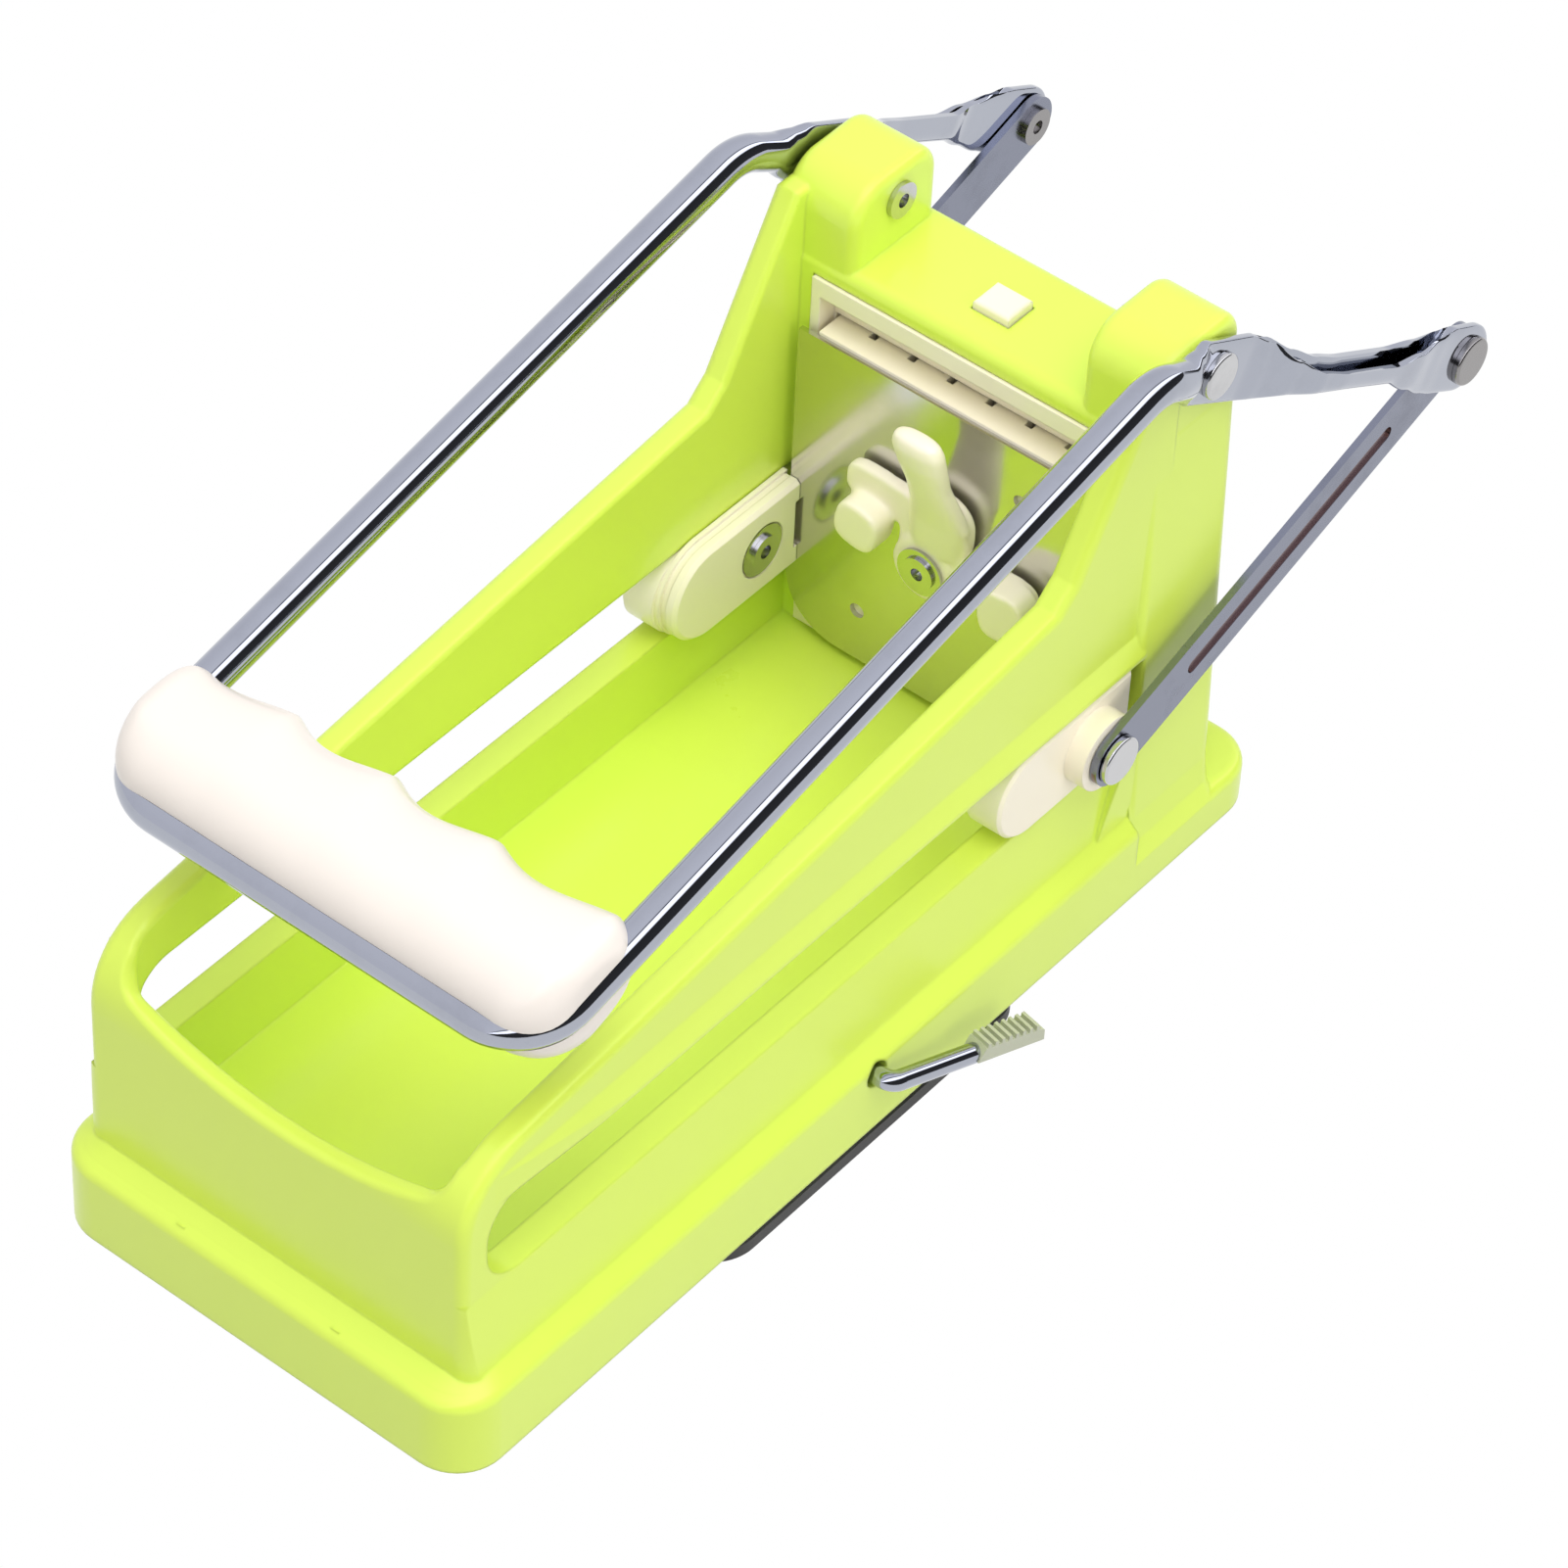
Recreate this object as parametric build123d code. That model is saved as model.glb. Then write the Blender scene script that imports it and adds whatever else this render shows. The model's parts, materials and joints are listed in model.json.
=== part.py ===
from build123d import *
import math
import os

os.makedirs("parts", exist_ok=True)

# ---------------------------------------------------------------- driving sizes (mm)
# X: right (suction lever side), Y: from the handle end to the blade tower, Z: up.
# Heights are taken from the lower edge of the green housing, then everything is
# raised by cup_drop so that the underside of the suction cup stands on Z = 0.
cup_drop = 6.0
fit = 0.3                     # clearance of a part that drops into another
run_fit = 0.08                # clearance of a turning fit, on the radius
touch = 0.02                  # hair's breadth between faces that meet

# base: outline, flange, ledge and floor
base_len = 255.0
base_half_w = 53.8
base_corner_r = 11.0
flange_h = 18.5
flange_wall = 2.6
flange_soft = 2.6
ledge_w = 3.8
ledge_top = 22.0
rear_ledge = 15.5
rear_ledge_top = 11.0
floor_top = 22.5
floor_t = 3.0
rib_t = 2.0
rib_foot = 4.0
ring_half = 45.0
ring_wall = 2.4
through = base_len            # long enough to cut through anything

# walls of the tray, from the base inward
wall_lean = 2.2
wall_t = 6.4
wall_foot_out = base_half_w - ledge_w
wall_out = wall_foot_out - wall_lean
wall_in = wall_out - wall_t
wall_corner_r = 4.5
tray_corner_r = 5.0
front_ledge = 6.5
front_t = 4.6
front_out = -base_len / 2 + front_ledge
front_in = front_out + front_t
rail_round = 2.3
rail_rise = 0.119
rail_front_z = 76.2
nose_len = 17.0
nose_z = 58.0
scoop_side = rail_front_z - 9.7
scoop_mid = scoop_side - 8.3
scoop_round = 7.0
scoop_inset = 0.8
scoop_soft = 1.5

# tower at the rear, with its ears
tower_depth = 29.0
tower_y1 = base_len / 2 - rear_ledge
tower_y0 = tower_y1 - tower_depth
tower_foot_half = base_half_w - 2.8
tower_top_half = tower_foot_half - 3.6
ear_w = 18.9
ear_in = tower_top_half - ear_w
ear_y0 = tower_y0 + 0.4
ear_y1 = tower_y1 - 2.0

slot_z0 = 41.8
slot_z1 = 64.0
slot_front = front_in + 2.2
slot_back = tower_y0 + 1.5
slot_end_r = 9.5
lip_out = wall_out + 1.8
lip_run_in = 40.0

# cutting cassette
cell = 10.0
rows = 8
cassette_side = 2.8
cassette_head = 10.9
cassette_depth = 18.8
cassette_half_w = wall_in - 3.5
columns = int(2 * (cassette_half_w - cassette_side) / cell)
cassette_z0 = floor_top + fit
grid_z0 = cassette_z0 + 3.2
grid_z1 = grid_z0 + rows * cell
grid_half = columns * cell / 2
cassette_z1 = grid_z1 + cassette_head
cassette_y0 = tower_y0 - 0.8
cassette_y1 = cassette_y0 + cassette_depth
blade_t = 0.5
blade_depth = 9.0
blade_y0 = cassette_y0 + 5.8
beam_top = cassette_z1 + 5.1
ear_top = beam_top + 19.0

# press clip on top of the cassette
clip_half_x = 4.5
clip_y0 = cassette_y0 + 9.3
clip_y1 = clip_y0 + 8.0
clip_rise = 2.2
clip_travel_room = 6.5
clip_shoulder = 2.6

# mechanism pivots, side view (y, z)
lever_pivot = (tower_y0 + 14.2, beam_top + 11.3)
rear_pivot = (tower_y0 + 96.0, 88.5)
carriage_pin = (tower_y0 - 15.0, (slot_z0 + slot_z1) / 2)
handle_bar = (front_out + 12.5, 106.0)
tube_bend = (tower_y0 - 9.0, lever_pivot[1] + 12.7)
pin_d = 5.0
head_t = 1.5
head_d = 11.0
tail_d = 8.2
rivet_bore_d = 3.2

# pusher plate and its pegs
plate_t = 1.2
plate_half_w = wall_in - 2.9
plate_y0 = cassette_y0 - 2.6
plate_z0 = floor_top + 2.1
plate_z1 = grid_z1 - 1.4
plate_corner_r = 14.0
tab_in = plate_half_w + 0.1
tab_reach = 9.0
tab_half_h = 6.5
latch_z = plate_z0 + 40.4
latch_gap = 0.9
latch_bore_d = 5.0
pusher_depth = 14.0
peg_gap = 0.7
peg_slot = 1.8

# sliders
cover_out = plate_half_w
cover_t = 2.6
cover_in = cover_out - cover_t
guide_in = tab_in + plate_t + 0.1
guide_out = wall_out + 1.5
slider_nose = 41.2            # from the plate to the tip of the slider

# links and lever
link_t = 1.6
link_w = 13.0
link_in = guide_out + 5.0
tube_d = 8.0
tube_x = tower_top_half + 4.8
bar_bend_r = 13.0
arm_bend_r = 14.0
arm_flat_t = 2.9
arm_pivot_in = tower_top_half + 0.7
arm_rear_in = link_in + link_t + 0.3

# hand grip
grip_half_w = tube_x + 3.2
grip_front = -1.0
grip_back = 29.5
grip_h = 12.5
grip_soft = 10.5
screw_x = 26.0
screw_y = 15.0

# suction base
rod_y = -3.0
rod_z = 15.6
rod_d = 4.4
crank = 3.0
rod_out_x = base_half_w + 3.6
rod_post_x = 22.0
rod_screw_y = 9.5
cup_half_x = base_half_w - 0.8
cup_half_y = 50.5
cup_corner_r = 11.0
cup_y = 0.0
stem_w = 16.0
stem_play = 0.95
stem_gap = 0.2
stem_head = 1.6
arm_run = 37.0
arm_spread = 7.5
arm_drop = 9.2
tab_start = 21.0
tab_half_w = 2.6
tab_ribs = 8


# ---------------------------------------------------------------- helpers
def box(x0, x1, y0, y1, z0, z1):
    return Pos((x0 + x1) / 2, (y0 + y1) / 2, (z0 + z1) / 2) * Box(
        abs(x1 - x0), abs(y1 - y0), abs(z1 - z0))


def yz_plate(points, x0, x1):
    """Prism of a side-view outline [(y, z), ...] between two x values."""
    face = make_face(Polyline([(0, y, z) for y, z in points], close=True))
    return Pos(min(x0, x1), 0, 0) * extrude(face, abs(x1 - x0), dir=(1, 0, 0))


def xz_plate(points, y0, y1):
    """Prism of a front-view outline [(x, z), ...] between two y values."""
    face = make_face(Polyline([(x, 0, z) for x, z in points], close=True))
    return Pos(0, y0, 0) * extrude(face, y1 - y0, dir=(0, 1, 0))


def xy_plate(points, z0, z1):
    """Prism of a plan outline [(x, y), ...] between two heights."""
    face = make_face(Polyline([(x, y, z0) for x, y in points], close=True))
    return extrude(face, z1 - z0, dir=(0, 0, 1))


def rod_x(y, z, r, x0, x1):
    """Cylinder along X."""
    return Pos((x0 + x1) / 2, y, z) * Rot(0, 90, 0) * Cylinder(r, abs(x1 - x0))


def rod_y_axis(x, z, r, y0, y1):
    return Pos(x, (y0 + y1) / 2, z) * Rot(90, 0, 0) * Cylinder(r, abs(y1 - y0))


def rod_z_axis(x, y, r, z0, z1):
    return Pos(x, y, (z0 + z1) / 2) * Cylinder(r, abs(z1 - z0))


def mirrored(shape):
    return mirror(shape, about=Plane.YZ)


def both(shape):
    return shape + mirrored(shape)


def rounded_block(hx, y0, y1, r, z0, z1, taper=0.0):
    sk = Pos(0, (y0 + y1) / 2, z0) * RectangleRounded(2 * hx, y1 - y0, r)
    return extrude(sk, z1 - z0, dir=(0, 0, 1), taper=taper)


def save(shape, name):
    moved = Pos(0, 0, cup_drop) * shape
    solids = moved.solids()
    out = solids[0] if len(solids) == 1 else Compound(children=list(solids))
    export_step(out, "parts/" + name + ".step")
    return out


def edges_near(shape, test):
    return [e for e in shape.edges() if test(e.center())]


# ---------------------------------------------------------------- housing
def rail_top(y):
    """Height of the upper rail along the tray."""
    return rail_front_z + (y - front_out - 11.0) * rail_rise


def wall_outline():
    """Side view of a long wall, with its curved nose and rising wing, on the YZ plane."""
    nose_end = front_out + nose_len
    wing = tower_y0 - 28.0
    wing_top = ear_top - 4.0
    nose = Spline((front_out, nose_z), (front_out + 3.2, nose_z + 11.2),
                  (nose_end, rail_top(nose_end)), tangents=[(0, 1), (1, rail_rise)])
    edge = Polyline((nose_end, rail_top(nose_end)), (wing, rail_top(wing)),
                    (wing + 5.0, rail_top(wing) + 4.5), (tower_y0 - 2.0, wing_top),
                    (tower_y0 + 7.0, wing_top), (tower_y0 + 7.0, flange_h),
                    (front_out, flange_h), (front_out, nose_z))
    return Plane.YZ * make_face(Wire(list(nose.edges()) + list(edge.edges())))


def make_scoop():
    """Cutter for the hollowed upper edge of the front wall."""
    e = wall_in - scoop_inset
    arc = ThreePointArc((-e, 0, scoop_side), (0, 0, scoop_mid), (e, 0, scoop_side))
    cap = Polyline((e, 0, scoop_side), (e, 0, ear_top), (-e, 0, ear_top), (-e, 0, scoop_side))
    scoop = Pos(0, front_out - 5, 0) * extrude(
        make_face(Wire(list(arc.edges()) + list(cap.edges()))),
        front_t + tray_corner_r + 8, dir=(0, 1, 0))
    return fillet(edges_near(scoop, lambda c: abs(c.Z - scoop_side) < 0.1 and
                             abs(abs(c.X) - e) < 0.1), scoop_round)


def make_tray_space(z0):
    return rounded_block(wall_in, front_in, tower_y1 + 28, tray_corner_r, z0, ear_top + 9)


def make_rim():
    """Side walls and scooped front wall in one run, with a soft rim all the way round."""
    rim = Pos(-wall_out, 0, 0) * extrude(wall_outline(), 2 * wall_out, dir=(1, 0, 0))
    rim = rim - make_tray_space(flange_h - 1) - make_scoop()
    rim = fillet(edges_near(rim, lambda c: c.Z > flange_h + 1 and c.Y < tower_y0 + 3 and
                            abs(abs(c.X) - wall_out) < 0.01), rail_round)
    return fillet(edges_near(rim, lambda c: c.Z > scoop_mid - 1 and c.Y < tower_y0 + 3 and
                             abs(c.X) < wall_in + 0.5), scoop_soft)


def make_base_shell():
    """Flange with its sloping ledge, lower behind the tower; solid underneath as yet."""
    y0, y1 = -base_len / 2, base_len / 2
    flange = rounded_block(base_half_w, y0, y1, base_corner_r, 0, flange_h)
    low = Pos(0, 0, flange_h) * RectangleRounded(2 * base_half_w, base_len, base_corner_r)
    high = Pos(0, 0, ledge_top) * RectangleRounded(
        2 * (wall_foot_out - 0.4), base_len - 2 * front_ledge + 0.6, base_corner_r - 3)
    shell = flange + loft([low, high])
    shell = fillet(edges_near(shell, lambda c: abs(c.Z - flange_h) < 0.01), flange_soft)
    shell = shell - box(-through, through, tower_y0, y1 + 1, rear_ledge_top, beam_top)
    return fillet(edges_near(shell, lambda c: abs(c.Z - rear_ledge_top) < 0.01 and
                             (c.Y > y1 - 6 or abs(c.X) > base_half_w - 1)), flange_soft)


def make_walls():
    """Side walls with skirt and lip, and the front wall, round the open tray."""
    skirt = xz_plate([(wall_in, flange_h), (wall_foot_out, flange_h), (wall_out, slot_z0),
                      (wall_in, slot_z0)], front_out, tower_y0 + 2)
    lip = xz_plate([(wall_in + 2, slot_z1), (lip_out - 0.5, slot_z1), (lip_out, slot_z1 + 0.8),
                    (lip_out, slot_z1 + 1.8), (wall_out - 0.2, slot_z1 + 7.5),
                    (wall_in + 2, slot_z1 + 7.5)], slot_front, tower_y0 + 2)
    lip = lip & xy_plate([(wall_in, slot_front), (wall_out - 0.1, slot_front),
                          (lip_out + 0.1, slot_front + lip_run_in),
                          (lip_out + 0.1, tower_y0 + 2), (wall_in, tower_y0 + 2)],
                         slot_z1 - 1, slot_z1 + 9)
    walls = make_rim() + both(skirt + lip)
    corner = rounded_block(wall_foot_out, front_out, tower_y1 + 20, wall_corner_r,
                           flange_h - 1, ear_top + 9)
    return walls & corner


def make_tower():
    """Rear tower: flared legs, cross beam and the two ears."""
    flare = [(base_half_w, 2.0), (base_half_w, rear_ledge_top - 2.0),
             (tower_foot_half + 0.9, rear_ledge_top + 2.5), (tower_foot_half, flange_h + 1.5),
             (tower_top_half, beam_top)]
    leg_mid = (flange_h + beam_top) / 2
    outer = tower_top_half - 1.4
    leg = xz_plate(flare + [(-x, z) for x, z in reversed(flare)], tower_y0, tower_y1)
    leg = fillet(edges_near(leg, lambda c: abs(c.X) > outer and c.Z > rear_ledge_top and
                            c.Z < beam_top - 1 and c.Y > tower_y1 - 1), 4.0)
    leg = fillet(edges_near(leg, lambda c: abs(c.X) > outer and abs(c.Z - leg_mid) < 8 and
                            c.Y < tower_y0 + 1), 2.0)
    leg = fillet(edges_near(leg, lambda c: abs(c.Z - beam_top) < 0.01 and abs(c.X) < 5), 3.0)
    ear = yz_plate([(ear_y0, beam_top - 25), (ear_y0, ear_top), (ear_y1, ear_top),
                    (ear_y1, beam_top - 25)], ear_in, tower_top_half)
    ear = fillet(edges_near(ear, lambda c: c.Z > ear_top - 1 and c.Y < ear_y0 + 1), 9.0)
    ear = fillet(edges_near(ear, lambda c: c.Z > ear_top - 1 and c.Y > ear_y1 - 1), 7.0)
    ear = fillet(edges_near(ear, lambda c: c.Z > beam_top + 6 and
                            (abs(c.X - ear_in) < .01 or abs(c.X - tower_top_half) < .01)), 2.6)
    return leg + both(ear)


def make_slots():
    """Cutter for the carriage slots in both side walls."""
    end_r = min(slot_end_r, (slot_z1 - slot_z0) / 2 - 0.2)
    slot = yz_plate([(slot_front, slot_z0), (slot_back, slot_z0), (slot_back, slot_z1),
                     (slot_front, slot_z1)], -lip_out - 2.9, lip_out + 2.9)
    slot = fillet(edges_near(slot, lambda c: abs(c.Y - slot_front) < 0.01 and
                             abs(c.X) < 1), end_r)
    return slot - box(-wall_in + 1, wall_in - 1, slot_front - 1, slot_back + 1,
                      slot_z0 - 1, slot_z1 + 1)


def make_underside():
    """Cutter for the open underside, shallower below the rear ledge."""
    y0, y1 = -base_len / 2, base_len / 2
    hollow = rounded_block(base_half_w - flange_wall, y0 + flange_wall, y1 - flange_wall,
                           base_corner_r - flange_wall, -1, floor_top - floor_t)
    return hollow - box(-through, through, tower_y0, y1, rear_ledge_top - flange_wall, beam_top)


def make_ribs():
    """Ring round the suction pad, with the ribs that tie it to the flange."""
    ring_r = 12.0
    ring_y = ring_half - 4.0
    ring_out = rounded_block(ring_half, -ring_y, ring_y, ring_r, 0.4, floor_top - 1)
    ring_in = rounded_block(ring_half - ring_wall, -ring_y + ring_wall, ring_y - ring_wall,
                            ring_r - ring_wall, 0, floor_top - floor_t)
    ribs = Pos(0, cup_y, 0) * (ring_out - ring_in)
    rib_top = floor_top - floor_t + 0.15
    half = rib_t / 2
    end_x = base_half_w - 1.5
    end_y = base_len / 2 - 1.5
    for y in (-base_len / 2 + 27.5, -base_len / 2 + 53.5, tower_y0 - 17.0):
        ribs = ribs + box(-end_x, end_x, y - half, y + half, rib_foot, rib_top)
    for x in (-20.0, 20.0):
        ribs = ribs + box(x - half, x + half, -end_y, cup_y - ring_y + 1, rib_foot, rib_top)
        ribs = ribs + box(x - half, x + half, cup_y + ring_y - 1, tower_y0 + 2,
                          rib_foot, rib_top)
    return ribs


def add_rod_posts(body):
    """Posts under the floor that hold the suction rod, with their screw holes."""
    r = rod_d / 2 + run_fit
    reach = rod_post_x + 12.0
    for x in (-rod_post_x, rod_post_x):
        for s in (-1, 1):
            y = rod_y + s * rod_screw_y
            body = body + box(x - 4, x + 4, y - 3.6, y + 3.6, rod_z, floor_top - 1)
            body = body - rod_z_axis(x, y, 1.3, rod_z - 1, rod_z + 4.0)
        body = body + box(x - 4, x + 4, rod_y - 6, rod_y + 6, rod_z + 1.0, floor_top - 1)
    body = body - rod_x(rod_y, rod_z, r, -reach, reach)
    return body - box(-reach, reach, rod_y - r, rod_y + r, rod_z - 8, rod_z)


def make_housing():
    body = make_base_shell()
    tray = make_tray_space(floor_top) & box(-through, through, front_out - 1, tower_y0 + 0.01, floor_top, ear_top + 9)
    body = body + make_walls() - tray
    gusset = yz_plate([(tower_y0 - 11.0, ledge_top - 2), (tower_y0 + 1, ledge_top - 2),
                       (tower_y0 + 1, 47.0)], wall_in + 3, tower_foot_half - 0.6)
    body = body + make_tower() + both(gusset)

    # cassette pocket from the front, smaller chip outlet behind it, hole for the clip
    body = body - box(-cassette_half_w - fit, cassette_half_w + fit, tower_y0 - 3,
                      cassette_y1 + fit, floor_top, cassette_z1 + fit)
    body = body - box(-grid_half - 0.6, grid_half + 0.6, cassette_y1 - 2, tower_y1 + 5,
                      floor_top + 2.5, grid_z1 + 0.6)
    body = body - box(-clip_half_x - fit, clip_half_x + fit, clip_y0 - fit, clip_y1 + fit,
                      cassette_z1, beam_top + 2)
    body = body - make_slots()
    body = body - rod_x(*lever_pivot, pin_d / 2 + run_fit, -through, through)

    # underside: ribs and rod posts, room for the stem's crank, exit of the rod
    body = add_rod_posts(body - make_underside() + make_ribs())
    body = body - box(-stem_w / 2 - 3, stem_w / 2 + 3, rod_y - 9, rod_y + 9, rod_z - 5.6,
                      floor_top - 1.6)
    return body - rod_x(rod_y, rod_z, rod_d / 2 + 0.9, ring_half - 15, through)


# ---------------------------------------------------------------- cutting cassette
def column_lines():
    """Middle of each vertical blade."""
    return [i * cell - grid_half for i in range(1, columns)]


def row_lines():
    """Height of each horizontal blade."""
    return [grid_z0 + j * cell for j in range(1, rows)]


def make_cassette_frame():
    seat = 1.6
    half = blade_t / 2
    blade_y1 = blade_y0 + blade_depth
    f = box(-cassette_half_w, cassette_half_w, cassette_y0, cassette_y1, cassette_z0, cassette_z1)
    f = f - box(-grid_half, grid_half, cassette_y0 - 1, cassette_y1 + 1, grid_z0, grid_z1)
    f = f - box(-grid_half - 0.6, grid_half + 0.6, cassette_y0 - 1, blade_y0 - 0.8,
                grid_z0 - 0.5, cassette_z1 - 4.2)
    # blade seats: the strips run through the frame sides
    for x in column_lines():
        f = f - box(x - half, x + half, blade_y0, blade_y1, grid_z0 - seat, grid_z1 + seat)
    for z in row_lines():
        f = f - box(-grid_half - seat, grid_half + seat, blade_y0, blade_y1, z - half, z + half)
    # well for the clip, open at the top
    well = clip_half_x + fit
    f = f - box(-well, well, clip_y0 - fit, clip_y1 + fit,
                cassette_z1 - clip_travel_room, cassette_z1 + 1)
    return f - box(-well - clip_shoulder - fit, well + clip_shoulder + fit, clip_y0 - fit,
                   clip_y1 + fit, cassette_z1 - clip_travel_room, cassette_z1 - 0.9)


def make_vertical_blades():
    out = Part()
    half = blade_t / 2 - touch
    notch = blade_t / 2 + 0.1
    middle = blade_y0 + blade_depth / 2
    blade_y1 = blade_y0 + blade_depth
    for x in column_lines():
        strip = box(x - half, x + half, blade_y0, blade_y1, grid_z0 - 1.4, grid_z1 + 1.4)
        for z in row_lines():
            strip = strip - box(x - 1, x + 1, middle - 0.1, blade_y1 + 1, z - notch, z + notch)
        out = out + strip
    return out


def make_horizontal_blades():
    out = Part()
    half = blade_t / 2 - touch
    notch = blade_t / 2 + 0.1
    middle = blade_y0 + blade_depth / 2
    end = grid_half + 1.4
    for z in row_lines():
        strip = box(-end, end, blade_y0, blade_y0 + blade_depth, z - half, z + half)
        for x in column_lines():
            strip = strip - box(x - notch, x + notch, blade_y0 - 1, middle + 0.1, z - 1, z + 1)
        out = out + strip
    return out


def make_clip():
    foot = cassette_z1 - 3.2
    top = beam_top + clip_rise
    button = box(-clip_half_x, clip_half_x, clip_y0, clip_y1, foot, top)
    button = fillet(edges_near(button, lambda c: c.Z > top - 0.2), 1.0)
    shoulder = box(-clip_half_x - clip_shoulder, clip_half_x + clip_shoulder, clip_y0, clip_y1,
                   foot, cassette_z1 - 1.2)
    return button + shoulder - rod_z_axis(0, (clip_y0 + clip_y1) / 2, 2.6,
                                          foot - 0.8, cassette_z1 + 1.0)


def coil(r, wire, turns, z0, z1, x, y):
    path = Helix(pitch=(z1 - z0) / turns, height=z1 - z0, radius=r)
    section = Plane(path @ 0, z_dir=path % 0) * Circle(wire / 2)
    return Pos(x, y, z0) * sweep(section, path=path, is_frenet=True)


def make_clip_spring():
    wire = 0.6
    return coil(2.0, wire, 5, cassette_z1 - clip_travel_room + wire / 2,
                cassette_z1 + 1.0 - wire / 2, 0, (clip_y0 + clip_y1) / 2)


# ---------------------------------------------------------------- pusher carriage
def make_plate():
    back = plate_y0 + plate_t
    y, z = carriage_pin
    p = box(-plate_half_w, plate_half_w, plate_y0, back, plate_z0, plate_z1)
    p = fillet(edges_near(p, lambda c: abs(c.X) > plate_half_w - .1 and
                          abs(c.Z - plate_z0) < .1 and
                          abs(c.Y - plate_y0 - plate_t / 2) < .1), plate_corner_r)
    tab = box(tab_in, tab_in + plate_t, y - tab_reach, back, z - tab_half_h, z + tab_half_h)
    bridge = box(plate_half_w - 2, tab_in + plate_t, plate_y0, back,
                 z - tab_half_h, z + tab_half_h)
    p = p + both(tab + bridge)
    p = p - rod_x(y, z, pin_d / 2 + run_fit, -through, through)
    p = p - rod_y_axis(0, latch_z, latch_bore_d / 2, plate_y0 - 1, back + 1)
    for side in (-1, 1):
        p = p - rod_y_axis(side * 19.4, latch_z + side * 27.0, 1.8, plate_y0 - 1, back + 1)
    return p


def make_pusher():
    """Block with a grid of pegs that passes through the blades."""
    y0 = plate_y0 + plate_t
    y1 = y0 + pusher_depth
    gx = grid_half - peg_gap
    z0, z1 = grid_z0 + peg_gap, grid_z1 - peg_gap
    half = peg_slot / 2
    p = box(-gx, gx, y0, y1, z0, z1)
    cut0 = blade_y0 - 1.8
    for x in column_lines():
        p = p - box(x - half, x + half, cut0, y1 + 1, z0 - 1, z1 + 1)
    for z in row_lines():
        p = p - box(-gx - 1, gx + 1, cut0, y1 + 1, z - half, z + half)
    return p - rod_y_axis(0, latch_z, 4.6, y0 - 1, y0 + 3.4)


def make_latch():
    """Turn latch: hub, two-armed bar with its hook and foot, and the finger lever."""
    y1 = plate_y0 - latch_gap
    z = latch_z
    bar_t = 3.2
    hub = rod_y_axis(0, z, 7.2, y1 - 4.4, y1)
    bar = xz_plate([(-22.5, z + 17.5), (-15.0, z + 20.0), (5.5, z + 5.0), (26.0, z + 6.5),
                    (28.0, z - 2.0), (18.0, z - 5.5), (-5.5, z - 5.5), (-22.5, z + 9.5)],
                   y1 - bar_t, y1)
    bar = fillet(edges_near(bar, lambda c: abs(c.Y - y1 + bar_t / 2) < 0.1), 2.2)
    hook = xz_plate([(-22.0, z + 14.5), (-11.0, z + 14.5), (-10.5, z - 1.0), (-18.0, z - 2.5),
                     (-22.0, z + 1.0)], y1 - bar_t - 5.8, y1 - bar_t)
    hook = fillet(edges_near(hook, lambda c: abs(c.Y - y1 + bar_t + 2.9) < 0.1), 2.4)
    foot = xz_plate([(16.0, z + 9.0), (28.0, z + 8.0), (28.0, z - 3.0), (17.0, z - 4.0)],
                    y1 - bar_t - 4.8, y1 - bar_t)
    foot = fillet(edges_near(foot, lambda c: abs(c.Y - y1 + bar_t + 2.4) < 0.1), 2.0)
    grip = yz_plate([(y1 - 12.5, z + 38.0), (y1 - 7.5, z + 39.5), (y1 - 5.0, z + 27.0),
                     (y1 - 0.5, z + 13.0), (y1, z + 6.2), (y1 - 4.4, z + 6.2),
                     (y1 - 10.5, z + 23.0)], -6.0, 4.2)
    grip = fillet(edges_near(grip, lambda c: c.Z > z + 35 and abs(c.X + 0.9) < .2), 1.6)
    latch = hub + bar + hook + foot + grip
    return latch - rod_y_axis(0, z, latch_bore_d / 2 + run_fit, y1 - 20, y1 + 1)


def make_latch_rivet():
    """Tubular rivet: pressed collar behind the plate, rolled head in front."""
    back = plate_y0 + plate_t
    y1 = plate_y0 - latch_gap
    shank = rod_y_axis(0, latch_z, latch_bore_d / 2 - touch, y1 - 5.6, back + 1.2)
    collar = rod_y_axis(0, latch_z, 4.0, back + touch, back + 1.2)
    head = rod_y_axis(0, latch_z, 3.9, y1 - 5.9, y1 - 5.25)
    return shank + collar + head - rod_y_axis(0, latch_z, 1.5, y1 - 8, y1 - 4.0)


def make_latch_washers():
    y1 = plate_y0 - latch_gap
    front = rod_y_axis(0, latch_z, 5.6, y1 - 5.2, y1 - 4.45)
    back = rod_y_axis(0, latch_z, 6.0, y1 + 0.06, plate_y0 - touch)
    return front + back - rod_y_axis(0, latch_z, latch_bore_d / 2 + 0.06, y1 - 6, plate_y0 + 1)


def slider_form(y_back, half_h, y_tip, x0, x1):
    """Slider outline: square at the plate end, half round at the front."""
    zc = carriage_pin[1]
    y_round = y_tip + half_h
    return box(x0, x1, y_round, y_back, zc - half_h, zc + half_h) + rod_x(
        y_round, zc, half_h, x0, x1)


def slider_tip():
    return plate_y0 - slider_nose


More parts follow.
